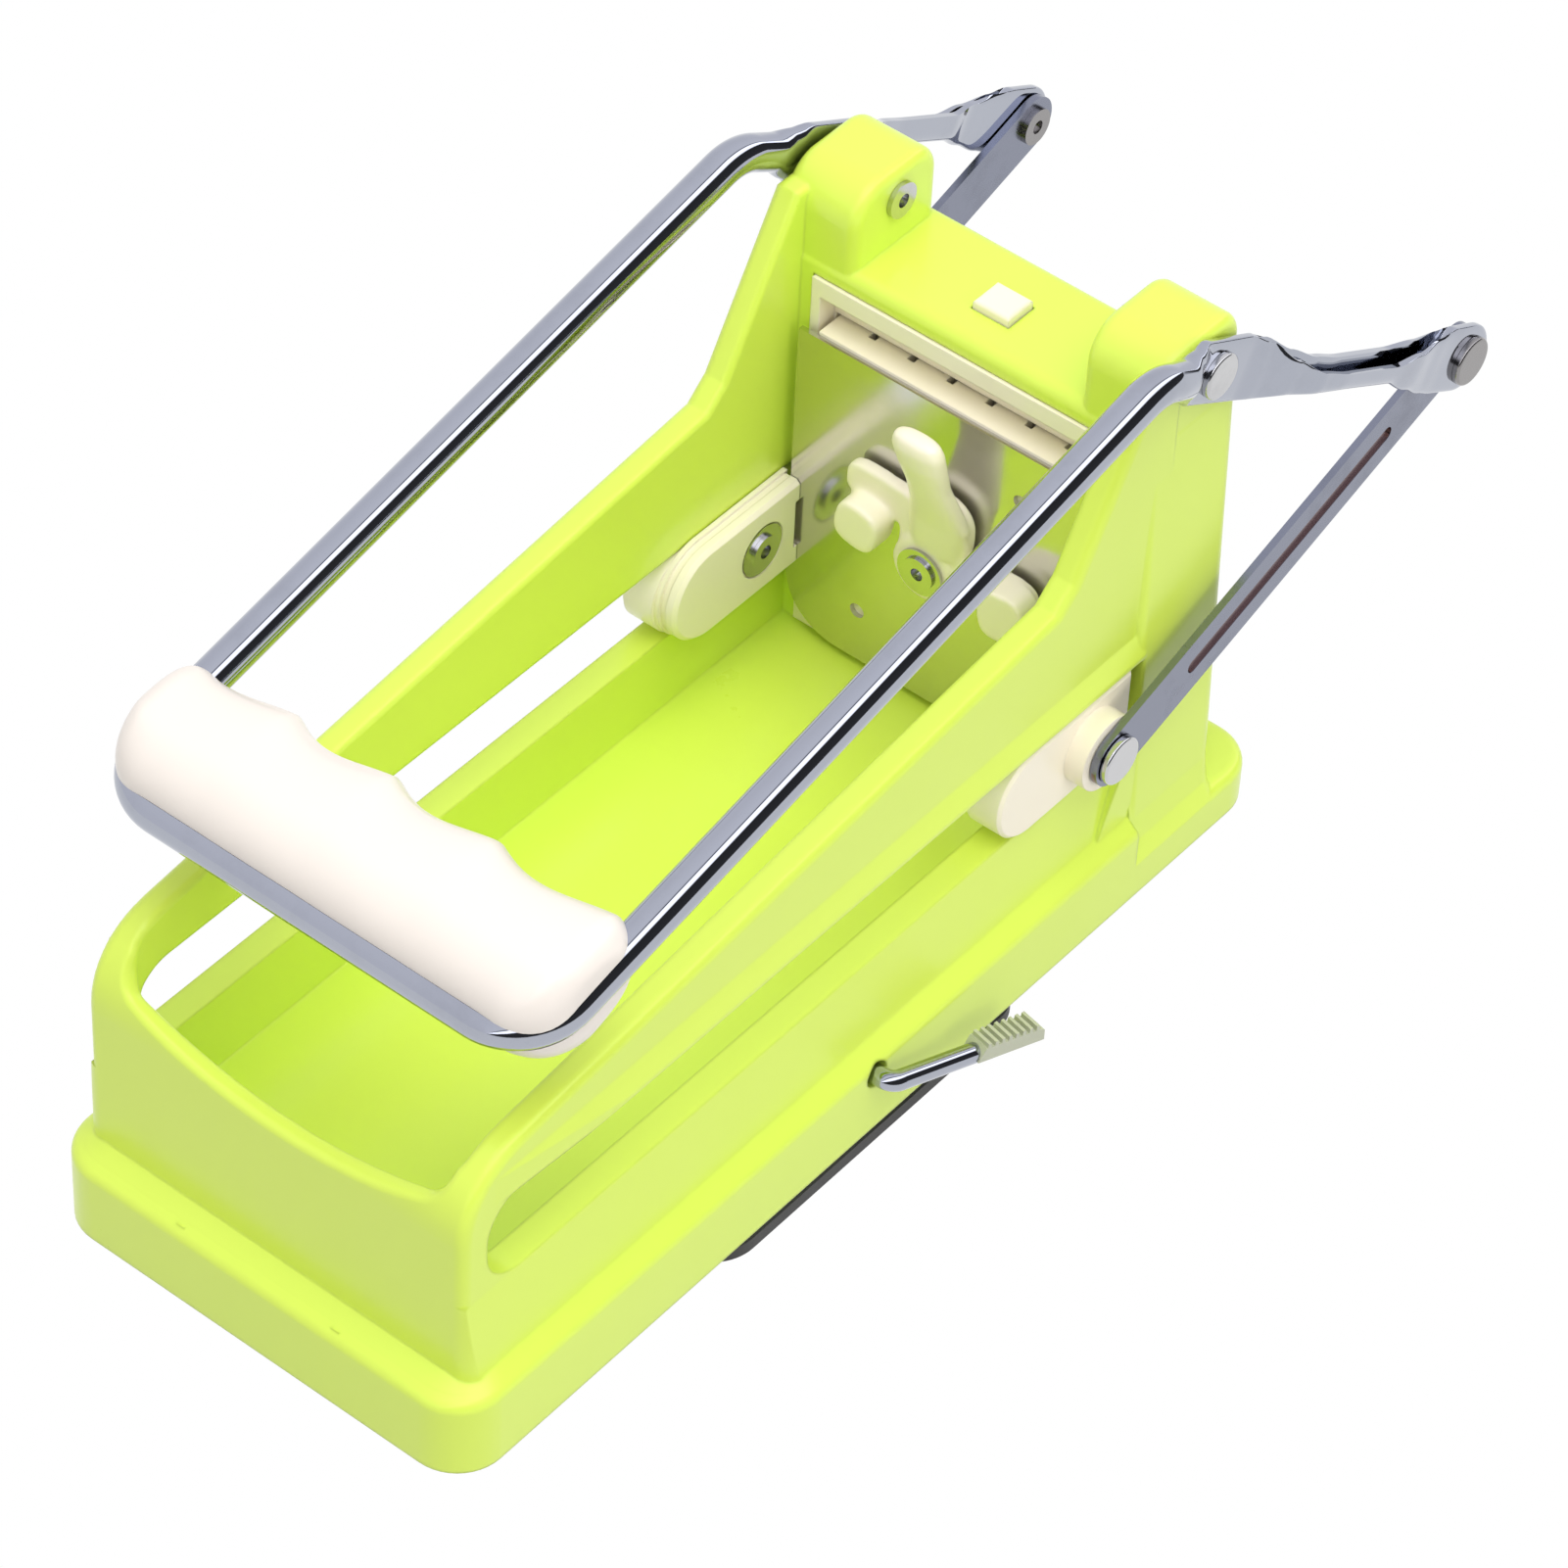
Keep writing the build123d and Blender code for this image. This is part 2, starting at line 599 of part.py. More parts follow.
def make_slider_cover():
    """Inner cream cover, closing the plate tab between itself and the guide."""
    yc, zc = carriage_pin
    notch, notch_half = 1.1, 6.4
    back = plate_y0 - 0.1
    c = slider_form(back, 11.6, slider_tip() + 1.2, cover_in, cover_out)
    c = chamfer(edges_near(c, lambda p: abs(p.X - cover_in) < 0.01 and p.Y < plate_y0 - 1), 0.9)
    c = c - box(cover_in - 1, cover_out + 1, back - notch, back + 1, zc - notch_half,
                zc + notch_half)
    c = c - rod_x(yc, zc, 6.6, cover_in - 1, cover_in + 0.9)
    return c - rod_x(yc, zc, pin_d / 2 + run_fit, 0, through)


def make_slider_guide():
    """Outer half of the slider: flange inside the wall, block in the slot, boss outside."""
    yc, zc = carriage_pin
    tip = slider_tip()
    half = (slot_z1 - slot_z0) / 2 - 0.35
    flange = slider_form(plate_y0 + 0.6, 11.9, tip + 0.8, guide_in, wall_in - fit)
    block = slider_form(plate_y0 + 1.6, half, tip, wall_in - 0.35, guide_out)
    block = chamfer(edges_near(block, lambda p: abs(p.X - guide_out) < 0.01), 0.7)
    boss = rod_x(yc, zc, 8.6, guide_out - 1, link_in - fit)
    land = slider_form(plate_y0 - 0.1, 11.4, tip + 1.6, cover_out + 0.03, guide_in + 0.2)
    tab_space = box(cover_out - 1, guide_in, yc - tab_reach - fit, plate_y0 + 1,
                    zc - tab_half_h - fit, zc + tab_half_h + fit)
    g = flange + block + boss + (land - tab_space)
    return g - rod_x(yc, zc, pin_d / 2 + run_fit, 0, through)


def make_slider_rivet():
    """Link pin: round head outside the link, rolled tail inside the cover washer."""
    y, z = carriage_pin
    x_link = link_in + link_t
    shank = rod_x(y, z, pin_d / 2, cover_in - 0.8, x_link + 0.3)
    head = rod_x(y, z, head_d / 2, x_link + 0.25, x_link + 0.25 + head_t)
    head = fillet(edges_near(head, lambda c: c.X > x_link + head_t), 0.6)
    tail = rod_x(y, z, 3.8, cover_in - 0.8, cover_in)
    bore = rod_x(y, z, rivet_bore_d / 2, 0, cover_in + 1.0)
    return shank + head + tail - bore


def make_slider_washer():
    y, z = carriage_pin
    return rod_x(y, z, 6.2, cover_in + 0.03, cover_in + 0.87) - rod_x(
        y, z, pin_d / 2 + run_fit, 0, through)


# ---------------------------------------------------------------- links and lever
def link_angle():
    return math.atan2(rear_pivot[1] - carriage_pin[1], rear_pivot[0] - carriage_pin[0])


def link_len():
    return math.hypot(rear_pivot[1] - carriage_pin[1], rear_pivot[0] - carriage_pin[0])


def along(p, ang, u, v):
    """Side-view point at distance u along a direction and v across it."""
    return (p[0] + u * math.cos(ang) - v * math.sin(ang),
            p[1] + u * math.sin(ang) + v * math.cos(ang))


def strip(p, ang, u0, u1, half, x0, x1):
    """Flat bar along a side-view direction, from u0 to u1."""
    return yz_plate([along(p, ang, u0, -half), along(p, ang, u1, -half),
                     along(p, ang, u1, half), along(p, ang, u0, half)], x0, x1)


def make_link():
    a, n = link_angle(), link_len()
    body = strip(carriage_pin, a, 0, n, link_w / 2, link_in, link_in + link_t)
    for p in (carriage_pin, rear_pivot):
        body = body + rod_x(*p, link_w / 2, link_in, link_in + link_t)
    # pressed stiffening groove, open on the outside
    g0, g1 = 26.0, n - 24.0
    groove = strip(carriage_pin, a, g0, g1, 1.7, link_in + link_t - 0.7, link_in + link_t + 1)
    for u in (g0, g1):
        groove = groove + rod_x(*along(carriage_pin, a, u, 0), 1.7,
                                link_in + link_t - 0.7, link_in + link_t + 1)
    body = body - groove
    body = body - rod_x(*carriage_pin, pin_d / 2 + run_fit, 0, through)
    return body - rod_x(*rear_pivot, pin_d / 2 + touch, 0, through)


def make_link_stub():
    """Rolled rivet tail that stays in the rear eye of the link."""
    x1 = link_in + link_t
    tail = rod_x(*rear_pivot, 4.3, link_in - 1.3, link_in - touch)
    shank = rod_x(*rear_pivot, pin_d / 2, link_in - 1.3, x1)
    return shank + tail - rod_x(*rear_pivot, rivet_bore_d / 2, 0, link_in - 0.3)


def arm_dir():
    return math.atan2(rear_pivot[1] - lever_pivot[1], rear_pivot[0] - lever_pivot[0])


def arm_len():
    return math.hypot(rear_pivot[1] - lever_pivot[1], rear_pivot[0] - lever_pivot[0])


def make_lever():
    """Bent tube: cross bar, two front arms, and pressed flat rear arms with two eyes."""
    r = tube_d / 2
    hb, tb, pv, rp = handle_bar, tube_bend, lever_pivot, rear_pivot
    a = arm_dir()
    f = math.atan2(tb[1] - hb[1], tb[0] - hb[0])
    press_start = -15.0
    start = along(pv, a, press_start, 0)
    x_start = tube_x - 0.6
    bend_in = (tube_x, *along(tb, f, -11.0, 0))
    path = FilletPolyline((0, *hb), (tube_x, *hb), bend_in, radius=bar_bend_r)
    path2 = FilletPolyline(bend_in, (tube_x, *tb), (x_start, *start), radius=arm_bend_r)
    front = sweep(Plane((0, *hb), z_dir=(1, 0, 0)) * Circle(r), path=path)
    bend = sweep(Plane(bend_in, z_dir=(0, math.cos(f), math.sin(f))) * Circle(r), path=path2)

    # pressed sections along the rear arm: (distance from the pivot, x centre, thickness, height)
    t = arm_flat_t
    xp = arm_pivot_in + t / 2
    xr = arm_rear_in + t / 2
    far = arm_len()
    secs = [(press_start, x_start, tube_d, tube_d), (-7.2, xp, t, 13.6), (0.0, xp, t, 14.5),
            (9.0, xp, t, 14.0), (20.0, xp + 2.4, t + 1.4, 8.8), (42.0, xr + 1.2, t + 2.0, 7.6),
            (66.0, xr + 0.9, t + 1.6, 7.8), (80.0, xr, t, 13.0), (far - 0.265, xr, t, 15.0)]
    faces = []
    for u, x, th, h in secs:
        pl = Plane((x, *along(pv, a, u, 0)), x_dir=(1, 0, 0),
                   z_dir=(0, math.cos(a), math.sin(a)))
        faces.append(pl * RectangleRounded(th, h, min(th, h) * 0.46))
    arm = Part()
    for f0, f1 in zip(faces[:-1], faces[1:]):
        arm = arm + loft([f0, f1])
    arm = arm + rod_x(*rp, 7.6, arm_rear_in, arm_rear_in + t)
    half = front + bend + arm
    half = half - rod_x(*pv, pin_d / 2 + touch, 0, through)
    half = half - rod_x(*rp, pin_d / 2 + touch, 0, through)
    return both(half - box(-through, 0, -through, through, 0, through))


def make_pivot_rivet():
    y, z = lever_pivot
    x1 = arm_pivot_in + arm_flat_t
    shank = rod_x(y, z, pin_d / 2, ear_in - 1.0, x1 + 0.2)
    head = rod_x(y, z, head_d / 2 - 0.4, x1 + 0.05, x1 + 0.05 + head_t)
    head = fillet(edges_near(head, lambda c: c.X > x1 + head_t - 0.2), 0.6)
    tail = rod_x(y, z, tail_d / 2, ear_in - 1.2, ear_in - 0.1)
    return shank + head + tail - rod_x(y, z, rivet_bore_d / 2, 0, ear_in + 0.6)


def make_rear_rivet():
    y, z = rear_pivot
    x1 = arm_rear_in + arm_flat_t
    shank = rod_x(y, z, pin_d / 2, arm_rear_in - 0.1, x1 + 0.2)
    head = rod_x(y, z, head_d / 2, x1 + 0.05, x1 + 0.05 + head_t)
    head = fillet(edges_near(head, lambda c: c.X > x1 + head_t - 0.2), 0.6)
    return shank + head


def grip_plane():
    """Plane of the tube's front arms: x across, y from the bar toward the pivots."""
    f = math.atan2(tube_bend[1] - handle_bar[1], tube_bend[0] - handle_bar[0])
    return Plane((0, handle_bar[0], handle_bar[1]), x_dir=(1, 0, 0),
                 z_dir=(0, -math.sin(f), math.cos(f)))


def make_grip(upper):
    """Half of the cream hand grip; the tube lies in a groove round its front and sides."""
    w = grip_half_w
    waves = []
    n = 4
    for k in range(n):
        x0 = -w + 4 + k * (2 * w - 8) / n
        x1 = -w + 4 + (k + 1) * (2 * w - 8) / n
        waves += [(x0, grip_back + 1.2), ((x0 + x1) / 2, grip_back - 2.0)]
    waves.append((w - 4, grip_back + 1.2))
    sides = Polyline([waves[-1], (w, grip_back - 5), (w, 4.0), (w - 5, grip_front),
                      (-w + 5, grip_front), (-w, 4.0), (-w, grip_back - 5), waves[0]])
    outline = make_face(Wire(list(Spline(waves).edges()) + list(sides.edges())))
    s = 1 if upper else -1
    h = grip_h
    block = extrude(outline, s * (h + 1), dir=(0, 0, 1))
    depth = grip_back + 1.6 - grip_front
    mid = (grip_back + 1.6 + grip_front) / 2
    side_view = Rot(0, 90, 0) * extrude(RectangleRounded(2 * h, depth, grip_soft), 2 * w + 4)
    side_view = Pos(-w - 2, mid, 0) * side_view
    front_view = Rot(90, 0, 0) * extrude(RectangleRounded(2 * w, 2 * h, 9.0), 80)
    front_view = Pos(0, 60, 0) * front_view
    body = block & side_view & front_view
    r = tube_d / 2 + 0.05
    path = FilletPolyline((-tube_x, 60, 0), (-tube_x, 0, 0), (tube_x, 0, 0), (tube_x, 60, 0),
                          radius=bar_bend_r)
    tube = sweep(Plane((-tube_x, 60, 0), z_dir=(0, -1, 0)) * Circle(r), path=path)
    return grip_plane() * (body - tube), grip_plane()


def make_grip_upper():
    slab, pl = make_grip(True)
    for x in (-screw_x, screw_x):
        slab = slab - pl * Pos(x, screw_y, 0) * Cylinder(1.2, 14.0)
    return slab


def make_grip_lower():
    slab, pl = make_grip(False)
    for x in (-screw_x, screw_x):
        slab = slab - pl * Pos(x, screw_y, -6) * Cylinder(1.7, 14.0)
        slab = slab - pl * Pos(x, screw_y, -grip_h) * Cylinder(3.4, 10.0)
    return slab


def make_grip_screws():
    pl = grip_plane()
    out = Part()
    for x in (-screw_x, screw_x):
        s = Pos(x, screw_y, -1.2) * Cylinder(1.18, 13.4)
        s = s + Pos(x, screw_y, -grip_h + 4.0) * Cylinder(3.0, 1.9)
        s = s - Pos(x, screw_y, -grip_h + 3.2) * (Box(3.6, 0.9, 1.6) + Box(0.9, 3.6, 1.6))
        out = out + pl * s
    return out


# ---------------------------------------------------------------- suction base
def make_suction_cup():
    """Rubber pad, flat underneath when slack, with a sealing groove inside its rim."""
    lip_t = 3.2
    outer = rounded_block(cup_half_x, -cup_half_y, cup_half_y, cup_corner_r,
                          -cup_drop, -cup_drop + lip_t)
    low = Pos(0, 0, -cup_drop + lip_t) * RectangleRounded(2 * cup_half_x, 2 * cup_half_y,
                                                          cup_corner_r)
    crown_x, crown_y = ring_half - 1.0, ring_half - 5.0
    crown = loft([low, RectangleRounded(2 * crown_x, 2 * crown_y, 14.0)])
    boss = rod_z_axis(0, rod_y, 17.0, -1.0, 4.0)
    grooves = Part()
    groove_w = 1.6
    for inset in (4.0, 9.0):
        hx, hy, r = cup_half_x - inset, cup_half_y - inset, cup_corner_r - 2.0
        ring = rounded_block(hx, -hy, hy, r, -cup_drop - 1, -cup_drop + 0.8)
        inside = rounded_block(hx - groove_w, -hy + groove_w, hy - groove_w, r - groove_w,
                               -cup_drop - 1, -cup_drop + 0.8)
        grooves = grooves + (ring - inside)
    socket = box(-stem_w / 2 - 0.4, stem_w / 2 + 0.4, rod_y - 8.4, rod_y + 8.4, 1.0, 6.0)
    return Pos(0, cup_y, 0) * (outer + crown - grooves) + boss - socket


def make_stem():
    """Puller bonded to the middle of the cup, with a window round the rod's crank."""
    r = rod_d / 2
    z_mid = rod_z - crank
    top = z_mid + r + stem_gap + stem_head
    cheek_t = 3.0
    foot = box(-stem_w / 2, stem_w / 2, rod_y - 8, rod_y + 8, 1.4, 5.4)
    cheek = box(stem_w / 2 - cheek_t, stem_w / 2, rod_y - 7.6, rod_y + 7.6, 4.0, top)
    window = box(-stem_w, stem_w, rod_y - r - stem_play, rod_y + crank + r + stem_play,
                 z_mid - r - stem_play, z_mid + r + stem_gap)
    return foot + both(cheek) - window


def rod_slope_point(run):
    """Point on the thumb arm's axis at a distance along Y from the bend."""
    share = run / arm_run
    return (rod_out_x + arm_spread * share, rod_y + run, rod_z - arm_drop * share)


def make_rod():
    """One bent wire: crank in the middle, straight journals, thumb arm outside."""
    y, z = rod_y, rod_z
    path = FilletPolyline((-rod_post_x - 10.0, y, z), (-14.5, y, z), (-10.5, y, z - crank),
                          (10.5, y, z - crank), (14.5, y, z), (rod_out_x, y, z),
                          rod_slope_point(arm_run), radius=2.9)
    return sweep(Plane((-rod_post_x - 10.0, y, z), z_dir=(1, 0, 0)) * Circle(rod_d / 2), path=path)


def make_tab():
    """Ribbed thumb piece moulded over the upper half of the wire's end, in line with it."""
    spread = math.atan2(arm_spread, arm_run)
    reach = arm_run / math.cos(spread)
    y0, y1 = tab_start, reach + 1.0

    def zc(y):
        return rod_z - arm_drop * y / reach
    body = yz_plate([(y0, zc(y0) - 0.6), (y1, zc(y1) - 0.6), (y1, zc(y1) + 2.2),
                     (y1 - 1.2, zc(y1) + 3.0), (y0 + 2.0, zc(y0) + 2.4)],
                    -tab_half_w, tab_half_w)
    rib_pitch = (y1 - y0 - 3.6) / (tab_ribs - 0.4)
    for k in range(tab_ribs):
        yy = y0 + 2.2 + k * rib_pitch
        body = body + yz_plate([(yy, zc(yy) + 1.5), (yy + 1.2, zc(yy) + 1.5),
                                (yy + 1.0, zc(yy) + 3.9), (yy + 0.3, zc(yy) + 3.9)],
                               -tab_half_w + 0.3, tab_half_w)
    body = Pos(rod_out_x, rod_y, 0) * Rot(0, 0, -math.degrees(spread)) * body
    p0 = Vector(*rod_slope_point(0))
    d = (Vector(*rod_slope_point(arm_run)) - p0).normalized()
    bore = Solid.make_cylinder(rod_d / 2 + 0.02, arm_run, Plane(p0 + d * 8.0, z_dir=d))
    return body - bore


def make_rod_clips():
    out = Part()
    for x in (-rod_post_x, rod_post_x):
        c = box(x - 4, x + 4, rod_y - 13.0, rod_y + 13.0, rod_z - 1.6, rod_z - 0.1)
        c = c + rod_x(rod_y, rod_z, rod_d / 2 + 1.5, x - 4, x + 4) & box(
            x - 4, x + 4, rod_y - 13, rod_y + 13, rod_z - 6, rod_z - 0.1)
        c = c - rod_x(rod_y, rod_z, rod_d / 2 + run_fit, x - 5, x + 5)
        for s in (-1, 1):
            c = c - rod_z_axis(x, rod_y + s * rod_screw_y, 1.35, rod_z - 3, rod_z + 1)
        out = out + c
    return out


def make_clip_screws():
    out = Part()
    for x in (-rod_post_x, rod_post_x):
        for s in (-1, 1):
            y = rod_y + s * rod_screw_y
            sc = rod_z_axis(x, y, 1.28, rod_z - 2.2, rod_z + 3.8)
            sc = sc + rod_z_axis(x, y, 2.6, rod_z - 3.2, rod_z - 1.62)
            sc = sc - box(x - 1.7, x + 1.7, y - 0.4, y + 0.4, rod_z - 3.6, rod_z - 2.6)
            out = out + sc
    return out


# ---------------------------------------------------------------- export
save(make_housing(), "housing")
save(make_cassette_frame(), "cassette_frame")
save(make_vertical_blades(), "vertical_blades")
save(make_horizontal_blades(), "horizontal_blades")
save(make_clip(), "cassette_clip")
save(make_clip_spring(), "clip_spring")
save(make_plate(), "pusher_plate")
save(make_pusher(), "pusher_block")
save(make_latch(), "turn_latch")
save(make_latch_rivet(), "latch_rivet")
save(make_latch_washers(), "latch_washers")
for side, turn in (("right", lambda s: s), ("left", mirrored)):
    save(turn(make_slider_cover()), "slider_cover_" + side)
    save(turn(make_slider_guide()), "slider_guide_" + side)
    save(turn(make_link()), "link_" + side)
save(both(make_slider_washer()), "slider_washers")
save(both(make_slider_rivet()), "slider_rivets")
save(both(make_link_stub()), "link_rivet_tails")
save(make_lever(), "lever_tube")
save(both(make_pivot_rivet()), "pivot_rivets")
save(both(make_rear_rivet()), "rear_rivets")
save(make_grip_upper(), "grip_upper")
save(make_grip_lower(), "grip_lower")
save(make_grip_screws(), "grip_screws")
save(make_suction_cup(), "suction_cup")
save(make_stem(), "suction_stem")
save(make_rod(), "suction_rod")
save(make_tab(), "suction_tab")
save(make_rod_clips(), "rod_clips")
save(make_clip_screws(), "rod_clip_screws")
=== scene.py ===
"""French fry cutter: finishes and soft forms for every piece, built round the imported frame."""
import json
import math

import bmesh
import bpy
from mathutils import Matrix, Vector

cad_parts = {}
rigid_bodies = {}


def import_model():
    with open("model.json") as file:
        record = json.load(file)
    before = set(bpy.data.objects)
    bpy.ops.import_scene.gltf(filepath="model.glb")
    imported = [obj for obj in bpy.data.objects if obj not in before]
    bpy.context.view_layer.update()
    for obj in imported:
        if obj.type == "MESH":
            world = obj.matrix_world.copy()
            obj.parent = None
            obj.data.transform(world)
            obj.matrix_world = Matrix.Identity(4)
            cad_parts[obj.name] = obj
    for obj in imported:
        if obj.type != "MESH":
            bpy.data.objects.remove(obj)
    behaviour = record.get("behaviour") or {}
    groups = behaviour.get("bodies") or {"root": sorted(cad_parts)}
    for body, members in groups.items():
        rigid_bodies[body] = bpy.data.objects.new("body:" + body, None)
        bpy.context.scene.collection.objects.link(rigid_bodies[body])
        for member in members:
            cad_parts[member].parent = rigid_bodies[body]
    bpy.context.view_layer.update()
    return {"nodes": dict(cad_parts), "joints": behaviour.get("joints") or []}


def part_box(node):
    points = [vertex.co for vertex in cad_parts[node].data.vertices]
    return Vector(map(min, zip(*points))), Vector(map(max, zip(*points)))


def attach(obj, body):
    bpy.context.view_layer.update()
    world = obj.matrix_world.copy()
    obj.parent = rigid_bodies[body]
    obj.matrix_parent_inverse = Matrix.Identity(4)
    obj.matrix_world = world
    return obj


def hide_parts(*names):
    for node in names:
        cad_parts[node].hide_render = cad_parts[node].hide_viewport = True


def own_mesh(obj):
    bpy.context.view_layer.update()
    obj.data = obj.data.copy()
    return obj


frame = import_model()

bl_info = {
    "name": "French fry cutter",
    "version": (1, 0, 0),
    "blender": (4, 5, 0),
    "location": "View3D > Sidebar > Fry cutter",
    "description": "Finishes the pieces of a lever fry cutter and sets up its studio",
    "category": "Object",
}

MM = 0.001


# ---------------------------------------------------------------- settings
COLOUR = {"subtype": "COLOR", "size": 3, "min": 0, "max": 1}


class CutterFinish(bpy.types.PropertyGroup):
    """Colours and gloss of the cutter's own materials."""

    housing_colour: bpy.props.FloatVectorProperty(
        name="Housing colour", description="Lime green of the moulded housing",
        **COLOUR, default=(0.71, 0.885, 0.105))
    grip_colour: bpy.props.FloatVectorProperty(
        name="Grip colour", description="Warm white of the hand grip",
        **COLOUR, default=(0.83, 0.765, 0.705))
    cream_colour: bpy.props.FloatVectorProperty(
        name="Cream colour", description="Cream of the latch, sliders and cassette",
        **COLOUR, default=(0.94, 0.87, 0.71))
    chrome_colour: bpy.props.FloatVectorProperty(
        name="Chrome tint", description="Reflection tint of the chromed lever",
        **COLOUR, default=(0.40, 0.42, 0.48))
    link_colour: bpy.props.FloatVectorProperty(
        name="Link tint", description="Reflection tint of the pressed links",
        **COLOUR, default=(0.23, 0.245, 0.31))
    # Dark brown painted into the links' pressed grooves as their shade.
    groove_shade_colour: bpy.props.FloatVectorProperty(
        name="Groove colour", description="Dark brown painted shade in the links' pressed grooves",
        **COLOUR, default=(0.21, 0.14, 0.13))
    plate_colour: bpy.props.FloatVectorProperty(
        name="Plate tint", description="Reflection tint of the pusher plate",
        **COLOUR, default=(0.62, 0.61, 0.60))
    rivet_colour: bpy.props.FloatVectorProperty(
        name="Rivet tint", description="Reflection tint of the rear rivets and the screws",
        **COLOUR, default=(0.29, 0.28, 0.28))
    washer_colour: bpy.props.FloatVectorProperty(
        name="Washer tint", description="Reflection tint of the bright rivets and washers",
        **COLOUR, default=(0.56, 0.56, 0.57))
    tab_colour: bpy.props.FloatVectorProperty(
        name="Thumb tab colour", description="Greenish cream of the suction lever's tab",
        **COLOUR, default=(0.50, 0.52, 0.40))
    rubber_colour: bpy.props.FloatVectorProperty(
        name="Rubber colour", description="Black of the suction pad",
        **COLOUR, default=(0.03, 0.03, 0.029))
    plastic_gloss: bpy.props.FloatProperty(
        name="Plastic roughness", description="Roughness of the glossy mouldings",
        subtype="FACTOR", min=0, max=1, default=0.24)
    moulded_edge: bpy.props.FloatProperty(
        name="Moulded edge", description="Radius of the soft edges of the housing",
        subtype="DISTANCE", unit="LENGTH", min=0, max=0.003, default=0.0011)
    small_edge: bpy.props.FloatProperty(
        name="Small edge", description="Radius of the soft edges of the small mouldings",
        subtype="DISTANCE", unit="LENGTH", min=0, max=0.003, default=0.0005)


class CutterForm(bpy.types.PropertyGroup):
    """Sizes of the pieces that are modelled here, in millimetres where marked."""

    tube_radius: bpy.props.FloatProperty(
        name="Tube radius", description="Radius of the lever tube, mm",
        min=1, default=4.0)
    bar_y: bpy.props.FloatProperty(
        name="Hand bar y", description="Place of the tube's cross bar along the cutter, mm",
        default=-108.5)
    bar_z: bpy.props.FloatProperty(
        name="Hand bar height", description="Height of the tube's cross bar, mm",
        default=112.0)
    bend_y: bpy.props.FloatProperty(
        name="Bend y", description="Place of the bend between front and rear arms, mm",
        default=74.0)
    bend_z: bpy.props.FloatProperty(
        name="Bend height", description="Height of the bend between front and rear arms, mm",
        default=152.0)
    corner_radius: bpy.props.FloatProperty(
        name="Corner radius", description="Bend radius at both ends of the cross bar, mm",
        min=5, default=13.0)
    grip_length: bpy.props.FloatProperty(
        name="Grip length", description="Length of the hand grip, mm",
        min=20, default=109.6)
    grip_wave_depth: bpy.props.FloatProperty(
        name="Wave depth", description="Depth of each finger hollow, mm",
        min=0, default=2.8)
    latch_voxel: bpy.props.FloatProperty(
        name="Latch grain", description="Cell size used to melt the latch's forms together",
        subtype="DISTANCE", unit="LENGTH", min=0.0002, default=0.00045)


class CutterStudio(bpy.types.PropertyGroup):
    """Camera and light of the studio."""

    azimuth: bpy.props.FloatProperty(
        name="Azimuth", description="Camera direction round the cutter",
        subtype="ANGLE", unit="ROTATION", default=math.radians(37.05))
    elevation: bpy.props.FloatProperty(
        name="Elevation", description="Camera height above the horizon",
        subtype="ANGLE", unit="ROTATION", default=math.radians(44.78))
    roll: bpy.props.FloatProperty(
        name="Roll", description="Tilt of the camera about its own axis",
        subtype="ANGLE", unit="ROTATION", default=math.radians(3.24))
    distance: bpy.props.FloatProperty(
        name="Distance", description="Distance from the pad's centre to the camera",
        subtype="DISTANCE", unit="LENGTH", min=0.1, default=1.36395)
    lens: bpy.props.FloatProperty(
        name="Lens", description="Focal length on a 36 mm sensor, in millimetres",
        min=20, default=153.52)
    side_shift: bpy.props.FloatProperty(
        name="Side shift", description="How far the camera stands off to its right",
        subtype="DISTANCE", unit="LENGTH", default=0.02181)
    up_shift: bpy.props.FloatProperty(
        name="Up shift", description="How far the camera stands off upwards",
        subtype="DISTANCE", unit="LENGTH", default=0.04193)
    key_power: bpy.props.FloatProperty(
        name="Key light", description="Power of the large soft box above",
        unit="POWER", min=0, default=12.0)
    fill_power: bpy.props.FloatProperty(
        name="Front light", description="Power of the soft box before the handle end",
        unit="POWER", min=0, default=0.8)
    side_power: bpy.props.FloatProperty(
        name="Side light", description="Power of the soft box beside the suction lever",
        unit="POWER", min=0, default=5.0)
    sky_strength: bpy.props.FloatProperty(
        name="Sky light", description="Strength of the even light from all round",
        min=0, default=0.67)
    room_strength: bpy.props.FloatProperty(
        name="Room in the gloss", description="Strength of the room that shiny pieces mirror",
        min=0, default=2.6)


# ---------------------------------------------------------------- modelling helpers
def pick_only(obj):
    """Deselect everything, then select one object and make it active."""
    for other in bpy.context.view_layer.objects:
        other.select_set(False)
    obj.select_set(True)
    bpy.context.view_layer.objects.active = obj


def edit(obj):
    """Enter edit mode on one object with all of it selected."""
    pick_only(obj)
    bpy.ops.object.mode_set(mode="EDIT")
    bpy.ops.mesh.select_mode(type="VERT")
    bpy.ops.mesh.select_all(action="SELECT")


def leave_edit():
    """Go back to object mode."""
    bpy.ops.object.mode_set(mode="OBJECT")


def apply_modifier(obj, kind, **values):
    """Add one modifier with its values and apply it."""
    pick_only(obj)
    modifier = obj.modifiers.new(kind.lower(), kind)
    for key, value in values.items():
        setattr(modifier, key, value)
    bpy.ops.object.modifier_apply(modifier=modifier.name)


def place_in_mesh(obj):
    """Move an object's place, turn and size into its mesh."""
    pick_only(obj)
    bpy.ops.object.transform_apply(location=True, rotation=True, scale=True)


def mirrored(half):
    """Add the other side of a half form, across the middle plane of the cutter."""
    apply_modifier(half, "MIRROR", use_axis=(True, False, False), use_mirror_merge=True,
                   merge_threshold=2e-5)
    outward(half)


def smoothed(piece, degrees):
    """Shade a piece smooth, except over edges sharper than an angle."""
    pick_only(piece)
    bpy.ops.object.shade_smooth_by_angle(angle=math.radians(degrees))


